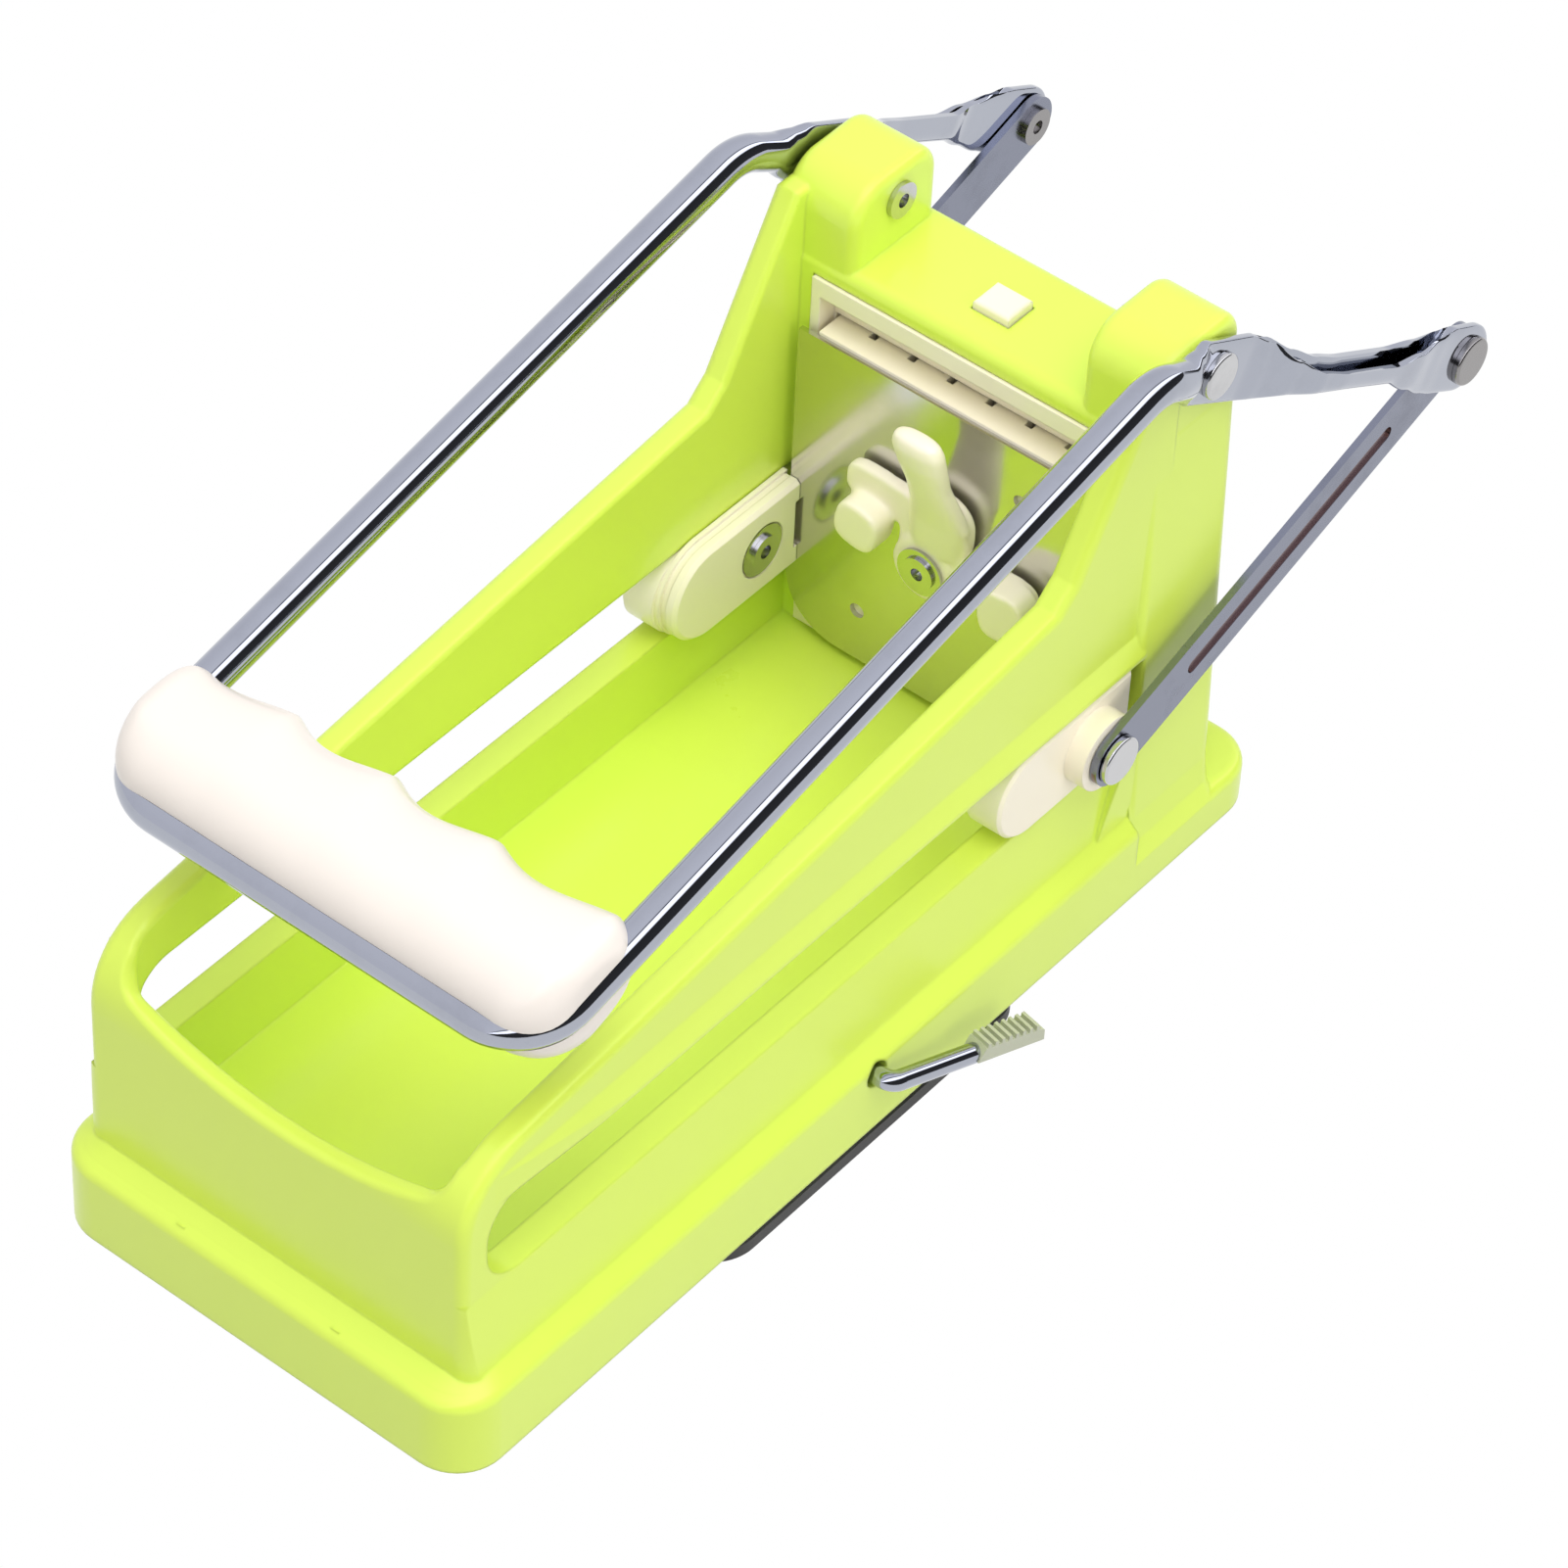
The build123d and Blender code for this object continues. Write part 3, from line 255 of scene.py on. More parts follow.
def finished(obj, name, body, *stands_for):
    """Name a piece, let it ride on a body and stand for its frame nodes."""
    obj.name = name
    obj.data.name = name
    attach(obj, body)
    if stands_for:
        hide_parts(*stands_for)
    return obj


def melted(name, parts, grain, rounds):
    """Join overlapping forms, melt them into one soft moulding and smooth it."""
    pick_only(parts[0])
    for part in parts[1:]:
        part.select_set(True)
    bpy.ops.object.join()
    piece = parts[0]
    piece.name = name
    apply_modifier(piece, "REMESH", mode="VOXEL", voxel_size=grain, adaptivity=0.0)
    apply_modifier(piece, "SMOOTH", factor=0.6, iterations=rounds)
    return piece


def ease(keys, place):
    """Values between key stations [(place, value, ...), ...], easing in and out of each."""
    if place <= keys[0][0]:
        return keys[0][1:]
    for before, after in zip(keys, keys[1:]):
        if place <= after[0]:
            t = (place - before[0]) / (after[0] - before[0])
            t = t * t * (3 - 2 * t)
            return tuple(p + (q - p) * t for p, q in zip(before[1:], after[1:]))
    return keys[-1][1:]


def skin(name, rings, close_start=False, close_end=False):
    """Tube of quads through rings of points, with flat ends where asked."""
    mesh = bmesh.new()
    loops = [[mesh.verts.new(Vector(p) * MM) for p in ring] for ring in rings]
    count = len(rings[0])
    for low, high in zip(loops, loops[1:]):
        for k in range(count):
            mesh.faces.new((low[k], low[(k + 1) % count], high[(k + 1) % count], high[k]))
    if close_start:
        mesh.faces.new(list(reversed(loops[0])))
    if close_end:
        mesh.faces.new(loops[-1])
    data = bpy.data.meshes.new(name)
    mesh.to_mesh(data)
    mesh.free()
    piece = bpy.data.objects.new(name, data)
    bpy.context.scene.collection.objects.link(piece)
    return piece


def outward(piece):
    """Merge doubles and turn every face outwards."""
    edit(piece)
    bpy.ops.mesh.remove_doubles(threshold=1e-6)
    bpy.ops.mesh.normals_make_consistent(inside=False)
    leave_edit()


def solid(name, rings):
    """Closed form through rings of points, with its faces turned outwards."""
    piece = skin(name, rings, close_start=True, close_end=True)
    outward(piece)
    return piece


def superellipse(half_a, half_b, power, count):
    """Closed loop of (a, b) points, rounder for a low power and squarer for a high one."""
    loop = []
    for k in range(count):
        angle = 2 * math.pi * k / count
        c, d = math.cos(angle), math.sin(angle)
        loop.append((half_a * math.copysign(abs(c) ** (2 / power), c),
                     half_b * math.copysign(abs(d) ** (2 / power), d)))
    return loop


def bent_run(start, corner, end, radius, steps):
    """Points of the arc that rounds a corner between two straight runs."""
    one = (Vector(start) - Vector(corner)).normalized()
    two = (Vector(end) - Vector(corner)).normalized()
    half = one.angle(two) / 2
    reach = radius / math.tan(half)
    middle = Vector(corner) + (one + two).normalized() * radius / math.sin(half)
    first = Vector(corner) + one * reach - middle
    last = Vector(corner) + two * reach - middle
    turn = first.angle(last)
    points = []
    for k in range(steps + 1):
        t = k / steps
        blend = (first * math.sin((1 - t) * turn) + last * math.sin(t * turn)) / math.sin(turn)
        points.append(middle + blend)
    return points


# ---------------------------------------------------------------- shader helpers
def wire(tree, source, target):
    """Link one socket to another."""
    tree.links.new(source, target)


def new_group(name, inputs, outputs):
    """Shader node group with named sockets: inputs are (kind, name, default)."""
    group = bpy.data.node_groups.new(name, "ShaderNodeTree")
    for kind, label, default in inputs:
        socket = group.interface.new_socket(name=label, in_out="INPUT", socket_type=kind)
        socket.default_value = default
    for kind, label in outputs:
        group.interface.new_socket(name=label, in_out="OUTPUT", socket_type=kind)
    start = group.nodes.new("NodeGroupInput")
    end = group.nodes.new("NodeGroupOutput")
    start.location = (-900, 0)
    end.location = (500, 0)
    return group, start, end


def node(tree, kind, x, y, **values):
    """Add one node at a place and set its properties or unlinked inputs."""
    made = tree.nodes.new(kind)
    made.location = (x, y)
    for key, value in values.items():
        if key.startswith("in_"):
            made.inputs[key[3:].replace("_", " ")].default_value = value
        else:
            setattr(made, key, value)
    return made


def plug(tree, value, target):
    """Link a socket to an input, or set the input to a plain value."""
    if isinstance(value, bpy.types.NodeSocket):
        wire(tree, value, target)
    else:
        target.default_value = value


def maths(tree, operation, x, y, *values):
    """Result of one sum on sockets or plain numbers."""
    made = node(tree, "ShaderNodeMath", x, y, operation=operation)
    for value, target in zip(values, made.inputs):
        plug(tree, value, target)
    return made.outputs["Value"]


def remapped(tree, value, x, y, **values):
    """Value carried from one range to another."""
    made = node(tree, "ShaderNodeMapRange", x, y, **values)
    wire(tree, value, made.inputs["Value"])
    return made.outputs["Result"]


def blended(tree, factor, a, b, x, y):
    """Colour between two others."""
    made = node(tree, "ShaderNodeMix", x, y, data_type="RGBA")
    for label, value in (("Factor", factor), ("A", a), ("B", b)):
        plug(tree, value, made.inputs[label])
    return made.outputs["Result"]


HANDLING_SPREAD = 0.12        # how much handling roughens a moulding
LINE_SHARE = 0.5              # weight of the drawing lines beside the handling marks
RELIEF_DEPTH = 0.0001         # height of the finest relief of every surface
EDGE_SAMPLES = 6              # samples of the rounded edges


def moulded_group():
    """Faint tone and gloss drift of an injection moulding, with its fine orange peel."""
    name = "Moulded surface"
    if name in bpy.data.node_groups:
        return bpy.data.node_groups[name]
    group, start, end = new_group(
        name,
        [("NodeSocketColor", "Colour", (0.5, 0.5, 0.5, 1)),
         ("NodeSocketColor", "Deep colour", (0.4, 0.4, 0.4, 1)),
         ("NodeSocketFloat", "Roughness", 0.25), ("NodeSocketFloat", "Drift", 0.05)],
        [("NodeSocketColor", "Colour"), ("NodeSocketFloat", "Roughness"),
         ("NodeSocketFloat", "Height")])
    place = node(group, "ShaderNodeTexCoord", -900, -200)
    broad = node(group, "ShaderNodeTexNoise", -650, 150, in_Scale=14.0, in_Detail=3.0)
    fine = node(group, "ShaderNodeTexNoise", -650, -150, in_Scale=900.0, in_Detail=2.0)
    handling = node(group, "ShaderNodeTexNoise", -650, -400, in_Scale=60.0, in_Detail=6.0,
                    in_Roughness=0.65)
    for texture in (broad, fine, handling):
        wire(group, place.outputs["Object"], texture.inputs["Vector"])
    spread = remapped(group, broad.outputs["Fac"], -420, 150, in_From_Min=0.35,
                      in_From_Max=0.7)
    amount = maths(group, "MULTIPLY", -220, 150, spread, start.outputs["Drift"])
    mix = blended(group, amount, start.outputs["Colour"], start.outputs["Deep colour"], 0, 200)
    gloss = maths(group, "MULTIPLY_ADD", 0, -200, handling.outputs["Fac"], HANDLING_SPREAD,
                  start.outputs["Roughness"])
    wire(group, mix, end.inputs["Colour"])
    wire(group, gloss, end.inputs["Roughness"])
    wire(group, fine.outputs["Fac"], end.inputs["Height"])
    return group


def drawn_metal_group():
    """Fine drawing lines along one direction, with dull handling marks."""
    name = "Drawn metal"
    if name in bpy.data.node_groups:
        return bpy.data.node_groups[name]
    group, start, end = new_group(
        name,
        [("NodeSocketColor", "Tint", (0.8, 0.8, 0.8, 1)),
         ("NodeSocketColor", "Dull tint", (0.6, 0.6, 0.6, 1)),
         ("NodeSocketVector", "Stretch", (1, 1, 1)),
         ("NodeSocketFloat", "Roughness", 0.1), ("NodeSocketFloat", "Roughness spread", 0.1)],
        [("NodeSocketColor", "Colour"), ("NodeSocketFloat", "Roughness"),
         ("NodeSocketFloat", "Height")])
    place = node(group, "ShaderNodeTexCoord", -1100, -100)
    scaled = node(group, "ShaderNodeVectorMath", -850, -100, operation="MULTIPLY")
    wire(group, place.outputs["Object"], scaled.inputs[0])
    wire(group, start.outputs["Stretch"], scaled.inputs[1])
    lines = node(group, "ShaderNodeTexNoise", -620, 100, in_Scale=1.0, in_Detail=4.0)
    wire(group, scaled.outputs["Vector"], lines.inputs["Vector"])
    marks = node(group, "ShaderNodeTexNoise", -620, -200, in_Scale=45.0, in_Detail=5.0,
                 in_Roughness=0.7)
    wire(group, place.outputs["Object"], marks.inputs["Vector"])
    dull = remapped(group, marks.outputs["Fac"], -380, -200, in_From_Min=0.5, in_From_Max=0.78)
    mix = blended(group, dull, start.outputs["Tint"], start.outputs["Dull tint"], 0, 200)
    both = maths(group, "MULTIPLY_ADD", -180, -50, lines.outputs["Fac"], LINE_SHARE, dull)
    rough = maths(group, "MULTIPLY_ADD", 0, -50, both, start.outputs["Roughness spread"],
                  start.outputs["Roughness"])
    wire(group, mix, end.inputs["Colour"])
    wire(group, rough, end.inputs["Roughness"])
    wire(group, lines.outputs["Fac"], end.inputs["Height"])
    return group


def near_zero(tree, source, full, none, y):
    """Mask that is 1 while a value is within full of zero and 0 beyond none."""
    size = maths(tree, "ABSOLUTE", -750, y, source)
    return remapped(tree, size, -550, y, in_From_Min=full, in_From_Max=none, in_To_Min=1.0,
                    in_To_Max=0.0)


def with_group(material_name, group, values, bump=0.0, edge=0.0, **shader):
    """Material whose Principled shader takes colour, roughness and bump from a group.

    An edge gives the radius over which the shading rounds the sharp edges of the mesh.
    """
    if material_name in bpy.data.materials:
        return bpy.data.materials[material_name]
    material = bpy.data.materials.new(material_name)
    material.use_nodes = True
    tree = material.node_tree
    surface = tree.nodes["Principled BSDF"]
    for key, value in shader.items():
        surface.inputs[key.replace("_", " ")].default_value = value
    block = node(tree, "ShaderNodeGroup", -500, 100, node_tree=group)
    for key, value in values.items():
        block.inputs[key].default_value = value
    wire(tree, block.outputs["Colour"], surface.inputs["Base Color"])
    wire(tree, block.outputs["Roughness"], surface.inputs["Roughness"])
    relief = node(tree, "ShaderNodeBump", -250, -250, in_Strength=bump,
                  in_Distance=RELIEF_DEPTH)
    wire(tree, block.outputs["Height"], relief.inputs["Height"])
    wire(tree, relief.outputs["Normal"], surface.inputs["Normal"])
    if edge:
        soft = node(tree, "ShaderNodeBevel", -500, -400, samples=EDGE_SAMPLES,
                    in_Radius=edge)
        wire(tree, soft.outputs["Normal"], relief.inputs["Normal"])
    return material


def rgba(colour, factor=1.0):
    """Opaque colour, scaled by a factor and held below full."""
    return (*[min(1.0, c * factor) for c in colour], 1.0)


def plastic(name, colour, deep, edge, drift=0.25):
    """Glossy moulding; deep is the tint of its thicker or worn places."""
    gloss = bpy.context.scene.cutter_finish.plastic_gloss
    shade = tuple(c * d for c, d in zip(colour, deep))
    return with_group(name, moulded_group(), {
        "Colour": rgba(colour), "Deep colour": rgba(shade), "Roughness": gloss,
        "Drift": drift}, bump=0.04, edge=edge, Coat_Weight=0.15, Coat_Roughness=0.12)


def metal(name, tint, dull, stretch, roughness, spread, bump=0.03):
    """Drawn or plated metal; dull is the share of the tint where it is handled."""
    return with_group(name, drawn_metal_group(), {
        "Tint": rgba(tint), "Dull tint": rgba(tint, dull), "Stretch": stretch,
        "Roughness": roughness, "Roughness spread": spread}, bump=bump, Metallic=1.0)


def green_plastic():
    finish = bpy.context.scene.cutter_finish
    return plastic("Lime green moulding", finish.housing_colour, (0.93, 0.98, 0.75),
                   finish.moulded_edge)


def white_plastic():
    finish = bpy.context.scene.cutter_finish
    return plastic("Warm white moulding", finish.grip_colour, (0.98, 0.96, 0.93), 0.0, 0.15)


def cream_plastic():
    finish = bpy.context.scene.cutter_finish
    return plastic("Cream moulding", finish.cream_colour, (0.97, 0.95, 0.86),
                   finish.small_edge, 0.3)


def tab_plastic():
    finish = bpy.context.scene.cutter_finish
    return plastic("Thumb tab moulding", finish.tab_colour, (0.9, 0.9, 0.8), 0.0, 0.4)


def chrome():
    tint = bpy.context.scene.cutter_finish.chrome_colour
    return metal("Bright chrome", tint, 0.9, (900.0, 60.0, 900.0), 0.035, 0.05, bump=0.015)


# Groove pressed into each link, in millimetres: half width and the half width where its painted
# shade has faded, place of its floor from the middle plane, and the same two for its depth.
GROOVE_HALF, GROOVE_HALF_FADED = 1.62, 1.85
GROOVE_FLOOR_X = 55.2
GROOVE_DEEP, GROOVE_DEEP_FADED = 0.45, 0.6


def link_steel():
    """Plated links: bright faces and a dark brown painted shade on the floor of the pressed
    groove.
    """
    finish = bpy.context.scene.cutter_finish
    material = metal("Link steel", finish.link_colour, 0.84, (300.0, 260.0, 700.0), 0.2, 0.16,
                     bump=0.05)
    tree = material.node_tree
    surface = tree.nodes["Principled BSDF"]
    bright = surface.inputs["Base Color"].links[0].from_socket
    if bright.node.type != "GROUP":
        return material
    eyes = []
    for name in ("slider_rivets", "rear_rivets"):
        low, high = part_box(name)
        eyes.append(Vector((0, low[1] + high[1], low[2] + high[2])) / 2)
    along = (eyes[1] - eyes[0]).normalized()
    place = node(tree, "ShaderNodeTexCoord", -1700, 500)
    away = node(tree, "ShaderNodeVectorMath", -1500, 500, operation="SUBTRACT")
    away.inputs[1].default_value = eyes[0]
    wire(tree, place.outputs["Object"], away.inputs[0])
    across = node(tree, "ShaderNodeVectorMath", -1300, 600, operation="DOT_PRODUCT")
    across.inputs[1].default_value = (0, -along.z, along.y)
    wire(tree, away.outputs["Vector"], across.inputs[0])
    split = node(tree, "ShaderNodeSeparateXYZ", -1300, 350)
    wire(tree, place.outputs["Object"], split.inputs["Vector"])
    width = near_zero(tree, across.outputs["Value"], GROOVE_HALF * MM, GROOVE_HALF_FADED * MM,
                      600)
    depth = maths(tree, "ABSOLUTE", -1100, 350, split.outputs["X"])
    from_floor = maths(tree, "SUBTRACT", -900, 350, depth, GROOVE_FLOOR_X * MM)
    floor = near_zero(tree, from_floor, GROOVE_DEEP * MM, GROOVE_DEEP_FADED * MM, 350)
    # The groove's floor is painted dark brown as its shade.
    inside = maths(tree, "MULTIPLY", -350, 500, width, floor)
    shaded_groove = blended(tree, inside, bright, rgba(finish.groove_shade_colour), -180, 400)
    wire(tree, shaded_groove, surface.inputs["Base Color"])
    return material


def rivet_steel():
    tint = bpy.context.scene.cutter_finish.rivet_colour
    return metal("Rivet steel", tint, 0.8, (500.0, 500.0, 500.0), 0.16, 0.14, bump=0.05)


def washer_steel():
    tint = bpy.context.scene.cutter_finish.washer_colour
    return metal("Washer steel", tint, 0.85, (500.0, 500.0, 500.0), 0.14, 0.12, bump=0.04)


def plate_steel():
    tint = bpy.context.scene.cutter_finish.plate_colour
    return metal("Zinc bright plate", tint, 0.93, (40.0, 500.0, 300.0), 0.13, 0.07, bump=0.02)


def blade_steel():
    return metal("Blade steel", (0.72, 0.72, 0.73), 0.85, (400.0, 900.0, 400.0), 0.16, 0.1)


def spring_steel():
    return metal("Spring steel", (0.5, 0.5, 0.52), 0.7, (500.0, 500.0, 500.0), 0.28, 0.1)


def black_rubber():
    finish = bpy.context.scene.cutter_finish
    return with_group("Black rubber", moulded_group(), {
        "Colour": rgba(finish.rubber_colour), "Deep colour": (0.05, 0.05, 0.048, 1),
        "Roughness": 0.5, "Drift": 0.5}, bump=0.12)


def dress(material, *nodes):
    """Give one finish to frame nodes that keep their own form."""
    for name in nodes:
        obj = frame["nodes"][name]
        if not obj.material_slots:
            obj.data.materials.append(material)
        for slot in obj.material_slots:
            slot.material = material


def coat(piece, material):
    """Give one finish to a modelled piece."""
    piece.data.materials.clear()
    piece.data.materials.append(material)


# ---------------------------------------------------------------- pieces
class MakeHousing(bpy.types.Operator):
    """Give the lime green housing and the rod clips their finish"""

    bl_idname = "fry_cutter.make_housing"
    bl_label = "Housing"

    def execute(self, context):
        dress(green_plastic(), "housing", "rod_clips")
        return {"FINISHED"}


# Press clip's spring, in millimetres: radius of the wire, then its turns.
SPRING_WIRE = 0.3
SPRING_TURNS = 5
TURN_STEPS = 24               # rings round one turn of the spring
WIRE_SIDES = 10               # points round its wire


def coil_rings(low, high):
    """Rings of points along a coil that fills the box between two corners."""
    middle = (low + high) / 2
    radius = (high.x - low.x) / 2 - SPRING_WIRE
    steps = SPRING_TURNS * TURN_STEPS
    rings = []
    for k in range(steps + 1):
        turn = 2 * math.pi * k / TURN_STEPS
        out = Vector((math.cos(turn), math.sin(turn), 0))
        rise = low.z + SPRING_WIRE + (high.z - low.z - 2 * SPRING_WIRE) * k / steps
        centre = Vector((middle.x, middle.y, rise)) + out * radius
        ring = []
        for j in range(WIRE_SIDES):
            angle = 2 * math.pi * j / WIRE_SIDES
            ring.append(centre + out * SPRING_WIRE * math.cos(angle)
                        + Vector((0, 0, SPRING_WIRE * math.sin(angle))))
        rings.append(ring)
    return rings


class MakeCassette(bpy.types.Operator):
    """Finish the blade cassette, its blades and its press clip, and wind the clip's spring"""

    bl_idname = "fry_cutter.make_cassette"
    bl_label = "Blade cassette"

    def execute(self, context):
        dress(cream_plastic(), "cassette_frame", "cassette_clip")
        dress(blade_steel(), "vertical_blades", "horizontal_blades")
        low, high = (Vector(corner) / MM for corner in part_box("clip_spring"))
        piece = solid("clip_coil", coil_rings(low, high))
        smoothed(piece, 50)
        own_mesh(piece)
        coat(finished(piece, "clip_coil", "base", "clip_spring"), spring_steel())
        return {"FINISHED"}


class MakeCarriage(bpy.types.Operator):
    """Finish the pusher plate, its peg block and both sliders"""

    bl_idname = "fry_cutter.make_carriage"
    bl_label = "Pusher carriage"

    def execute(self, context):
        for side in ("left", "right"):
            dress(cream_plastic(), "slider_cover_" + side, "slider_guide_" + side)
        dress(cream_plastic(), "pusher_block")
        dress(plate_steel(), "pusher_plate")
        dress(washer_steel(), "slider_washers", "slider_rivets", "latch_rivet", "latch_washers")
        return {"FINISHED"}


def latch_slab(hub, middle, halves, power, turn, front, back):
    """Flat lobe of the latch, round its own middle in the plane of the plate."""
    spin = Matrix.Rotation(math.radians(turn), 2)
    outline = []
    for a, b in superellipse(*halves, power, LATCH_SIDES):
        across, up = spin @ Vector((a, b))
        outline.append((hub.x + middle[0] + across, hub.z + middle[1] + up))
    rings = [[(x, hub.y + y, z) for x, z in outline] for y in (front, back)]
    return solid("lobe", rings)


# Lobes in millimetres from the hub's axis and the latch's back face: middle, half sizes,
# squareness, turn in degrees, front and back.
LATCH_LOBES = (((0, 0), (7.8, 7.8), 2.0, 0, -4.3, 0),
               ((1.6, 9.5), (8.2, 11.5), 2.6, -12, -3.6, 0),
               ((-11.5, 12.6), (10.0, 4.6), 3.6, -4, -3.4, 0),
               ((-14.4, 6.0), (5.5, 5.6), 2.9, -10, -8.9, -2),
               ((14.5, 3.0), (13.0, 5.6), 3.2, 8, -3.4, 0),
               ((22.6, 3.2), (5.9, 6.2), 3.4, 8, -8.2, -2))
# Finger paddle from its root upwards: height, middle across, depth, half width, half thickness.
LATCH_PADDLE = ((6.0, 2.2, -2.4, 6.2, 2.2), (16.0, 3.4, -3.9, 7.2, 2.8),
                (22.0, 3.3, -5.8, 6.0, 2.8), (28.0, 2.7, -7.8, 5.2, 2.7),
                (34.0, 1.8, -9.3, 5.8, 3.0), (38.0, 1.0, -9.9, 6.2, 3.0),
                (40.2, 0.8, -10.1, 5.4, 2.4), (41.0, 0.8, -10.1, 3.6, 1.6))
PADDLE_SQUARE = 2.6           # squareness of the paddle's sections
LATCH_SIDES = 48              # points round each form before they are melted together
LATCH_ROUNDS = 14             # rounds of smoothing after that
LATCH_DRILL = 30.0            # long enough to go through the latch
PIN_HOLE = 2.55               # radius of every hole for a rivet, mm


class MakeLatch(bpy.types.Operator):
    """Melt the turn latch's hub, arms and finger paddle into one soft moulding"""

    bl_idname = "fry_cutter.make_latch"
    bl_label = "Turn latch"

    def execute(self, context):
        low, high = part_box("latch_washers")
        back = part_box("turn_latch")[1][1]
        hub = Vector(((low[0] + high[0]) / 2, back, (low[2] + high[2]) / 2)) / MM
        parts = [latch_slab(hub, *lobe) for lobe in LATCH_LOBES]
        rings = []
        for up, middle, depth, half, thick in LATCH_PADDLE:
            centre = hub + Vector((middle, depth, up))
            rings.append([centre + Vector((a, b, 0))
                          for a, b in superellipse(half, thick, PADDLE_SQUARE, LATCH_SIDES)])
        piece = melted("latch_moulding", parts + [solid("paddle", rings)],
                       context.scene.cutter_form.latch_voxel, LATCH_ROUNDS)
        cut_hole(piece, hub, (0, 1, 0), PIN_HOLE, LATCH_DRILL)
        smoothed(piece, 50)
        coat(finished(piece, "latch_moulding", "latch", "turn_latch"), cream_plastic())
        return {"FINISHED"}


class MakeLinks(bpy.types.Operator):
    """Finish the two pressed links and their rivets"""

    bl_idname = "fry_cutter.make_links"
    bl_label = "Links"

    def execute(self, context):
        dress(link_steel(), "link_left", "link_right")
        dress(rivet_steel(), "link_rivet_tails", "rear_rivets")
        dress(washer_steel(), "pivot_rivets")
        return {"FINISHED"}


# Right half of the lever, in millimetres.
TUBE_X = 52.2                 # middle of the round tube
PRESS_X = TUBE_X - 0.6        # where the tube begins to flatten
EYE_X = 49.55                 # flat eye beside the ear
REAR_X = 57.65                # flat eye outside the link
FLAT = 1.45                   # half thickness of a pressed eye
REAR_EYE = 7.6                # half height of the rear eye
EYE_TIP = 0.25                # half height left at its rounded end
EYE_STEPS, EYE_TURN = 9, 11   # stations round that end and the degrees between them
PRESS_START = -15.0           # distance from the pivot at which the rear arm begins
ARM_STEP = 1.2                # distance between its stations
BAR_SHARE = 0.4               # place of a second station along the straight cross bar
CORNER_STEPS = 14             # stations round the corners of the cross bar
BEND_RADIUS, BEND_STEPS = 14.0, 12    # bend between the front and the rear arm
ROUND, SQUARED = 2.0, 4.5     # squareness of a round tube and of a pressed eye
LEVER_SIDES = 72              # points round each section
LEVER_DRILL = 140.0           # long enough to go through both arms
# Rear arm between the tube and its eye: distance from the pivot, then x, half thickness, half
# height, squareness and depth of the crease.
ARM_KEYS = ((-10.5, EYE_X + 1.0, 2.6, 5.4, 2.6, 0.0), (-7.0, EYE_X, FLAT, 6.9, SQUARED, 0.0),
            (11.0, EYE_X, FLAT, 7.2, SQUARED, 0.0), (17.0, 50.8, 1.6, 6.6, 4.0, 0.1),
            (24.0, 54.0, 2.1, 4.7, 3.2, 0.6), (31.0, 56.6, 2.5, 3.6, 2.8, 1.0),
            (40.0, 57.2, 2.6, 3.2, 2.6, 1.0), (60.0, 57.4, 2.6, 3.3, 2.6, 1.0),
            (69.0, 58.1, 2.0, 5.2, 3.2, 0.9), (77.0, 57.8, 1.6, 6.8, 4.0, 0.4),
            (83.0, REAR_X, FLAT, 7.4, SQUARED, 0.0))


def lever_stations(form):
    """Stations along one half of the lever: (centre, sizes), on the rear arm with its direction.

    The sizes of a section are its half thickness in x, its half height, the squareness of its
    outline and the depth of the crease along its upper side.
    """
    r = form.tube_radius
    swing = next(j for j in frame["joints"] if j["name"] == "lever_swing")
    pivot = Vector(swing["pos_m"]) / MM
    rear_low, rear_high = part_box("rear_rivets")
    rear = Vector((0, (rear_low[1] + rear_high[1]) / 2 / MM,
                   (rear_low[2] + rear_high[2]) / 2 / MM))
    bar = Vector((0, form.bar_y, form.bar_z))
    corner = Vector((TUBE_X, form.bar_y, form.bar_z))
    bend = Vector((TUBE_X, form.bend_y, form.bend_z))
    along = Vector((0, rear.y - pivot.y, rear.z - pivot.z)).normalized()
    pressed = Vector((PRESS_X, pivot.y, pivot.z)) + along * PRESS_START
    centres = [bar, bar + Vector((TUBE_X * BAR_SHARE, 0, 0))]
    centres += bent_run(bar, corner, bend, form.corner_radius, CORNER_STEPS)
    centres += bent_run(corner, bend, pressed, BEND_RADIUS, BEND_STEPS)
    stations = [(c, (r, r, ROUND, 0.0)) for c in centres]
    length = (rear - pivot).length
    keys = [(PRESS_START, PRESS_X, r, r, ROUND, 0.0), *ARM_KEYS,
            (length, REAR_X, FLAT, REAR_EYE, SQUARED, 0.0)]
    place = PRESS_START
    while place < length:
        x, *sizes = ease(keys, place)
        centre = pivot + along * place
        stations.append((Vector((x, centre.y, centre.z)), tuple(sizes), along))
        place += ARM_STEP
    for k in range(EYE_STEPS):
        turn = math.radians(EYE_TURN * k)
        centre = pivot + along * (length + REAR_EYE * math.sin(turn))
        high = max(REAR_EYE * math.cos(turn), EYE_TIP)
        stations.append((Vector((REAR_X, centre.y, centre.z)), (FLAT, high, SQUARED, 0.0), along))
    return stations


def station_axes(stations, k):
    """Directions across and upright at one station of the lever."""
    fixed = stations[k][2:]
    if fixed:
        return Vector((1, 0, 0)), Vector((0, -fixed[0].z, fixed[0].y))
    ahead = (stations[k + 1][0] - stations[max(k - 1, 0)][0]).normalized()
    if k == 0:
        ahead = Vector((1, 0, 0))
    upright = tube_upright(ahead)
    return ahead.cross(upright).normalized(), upright


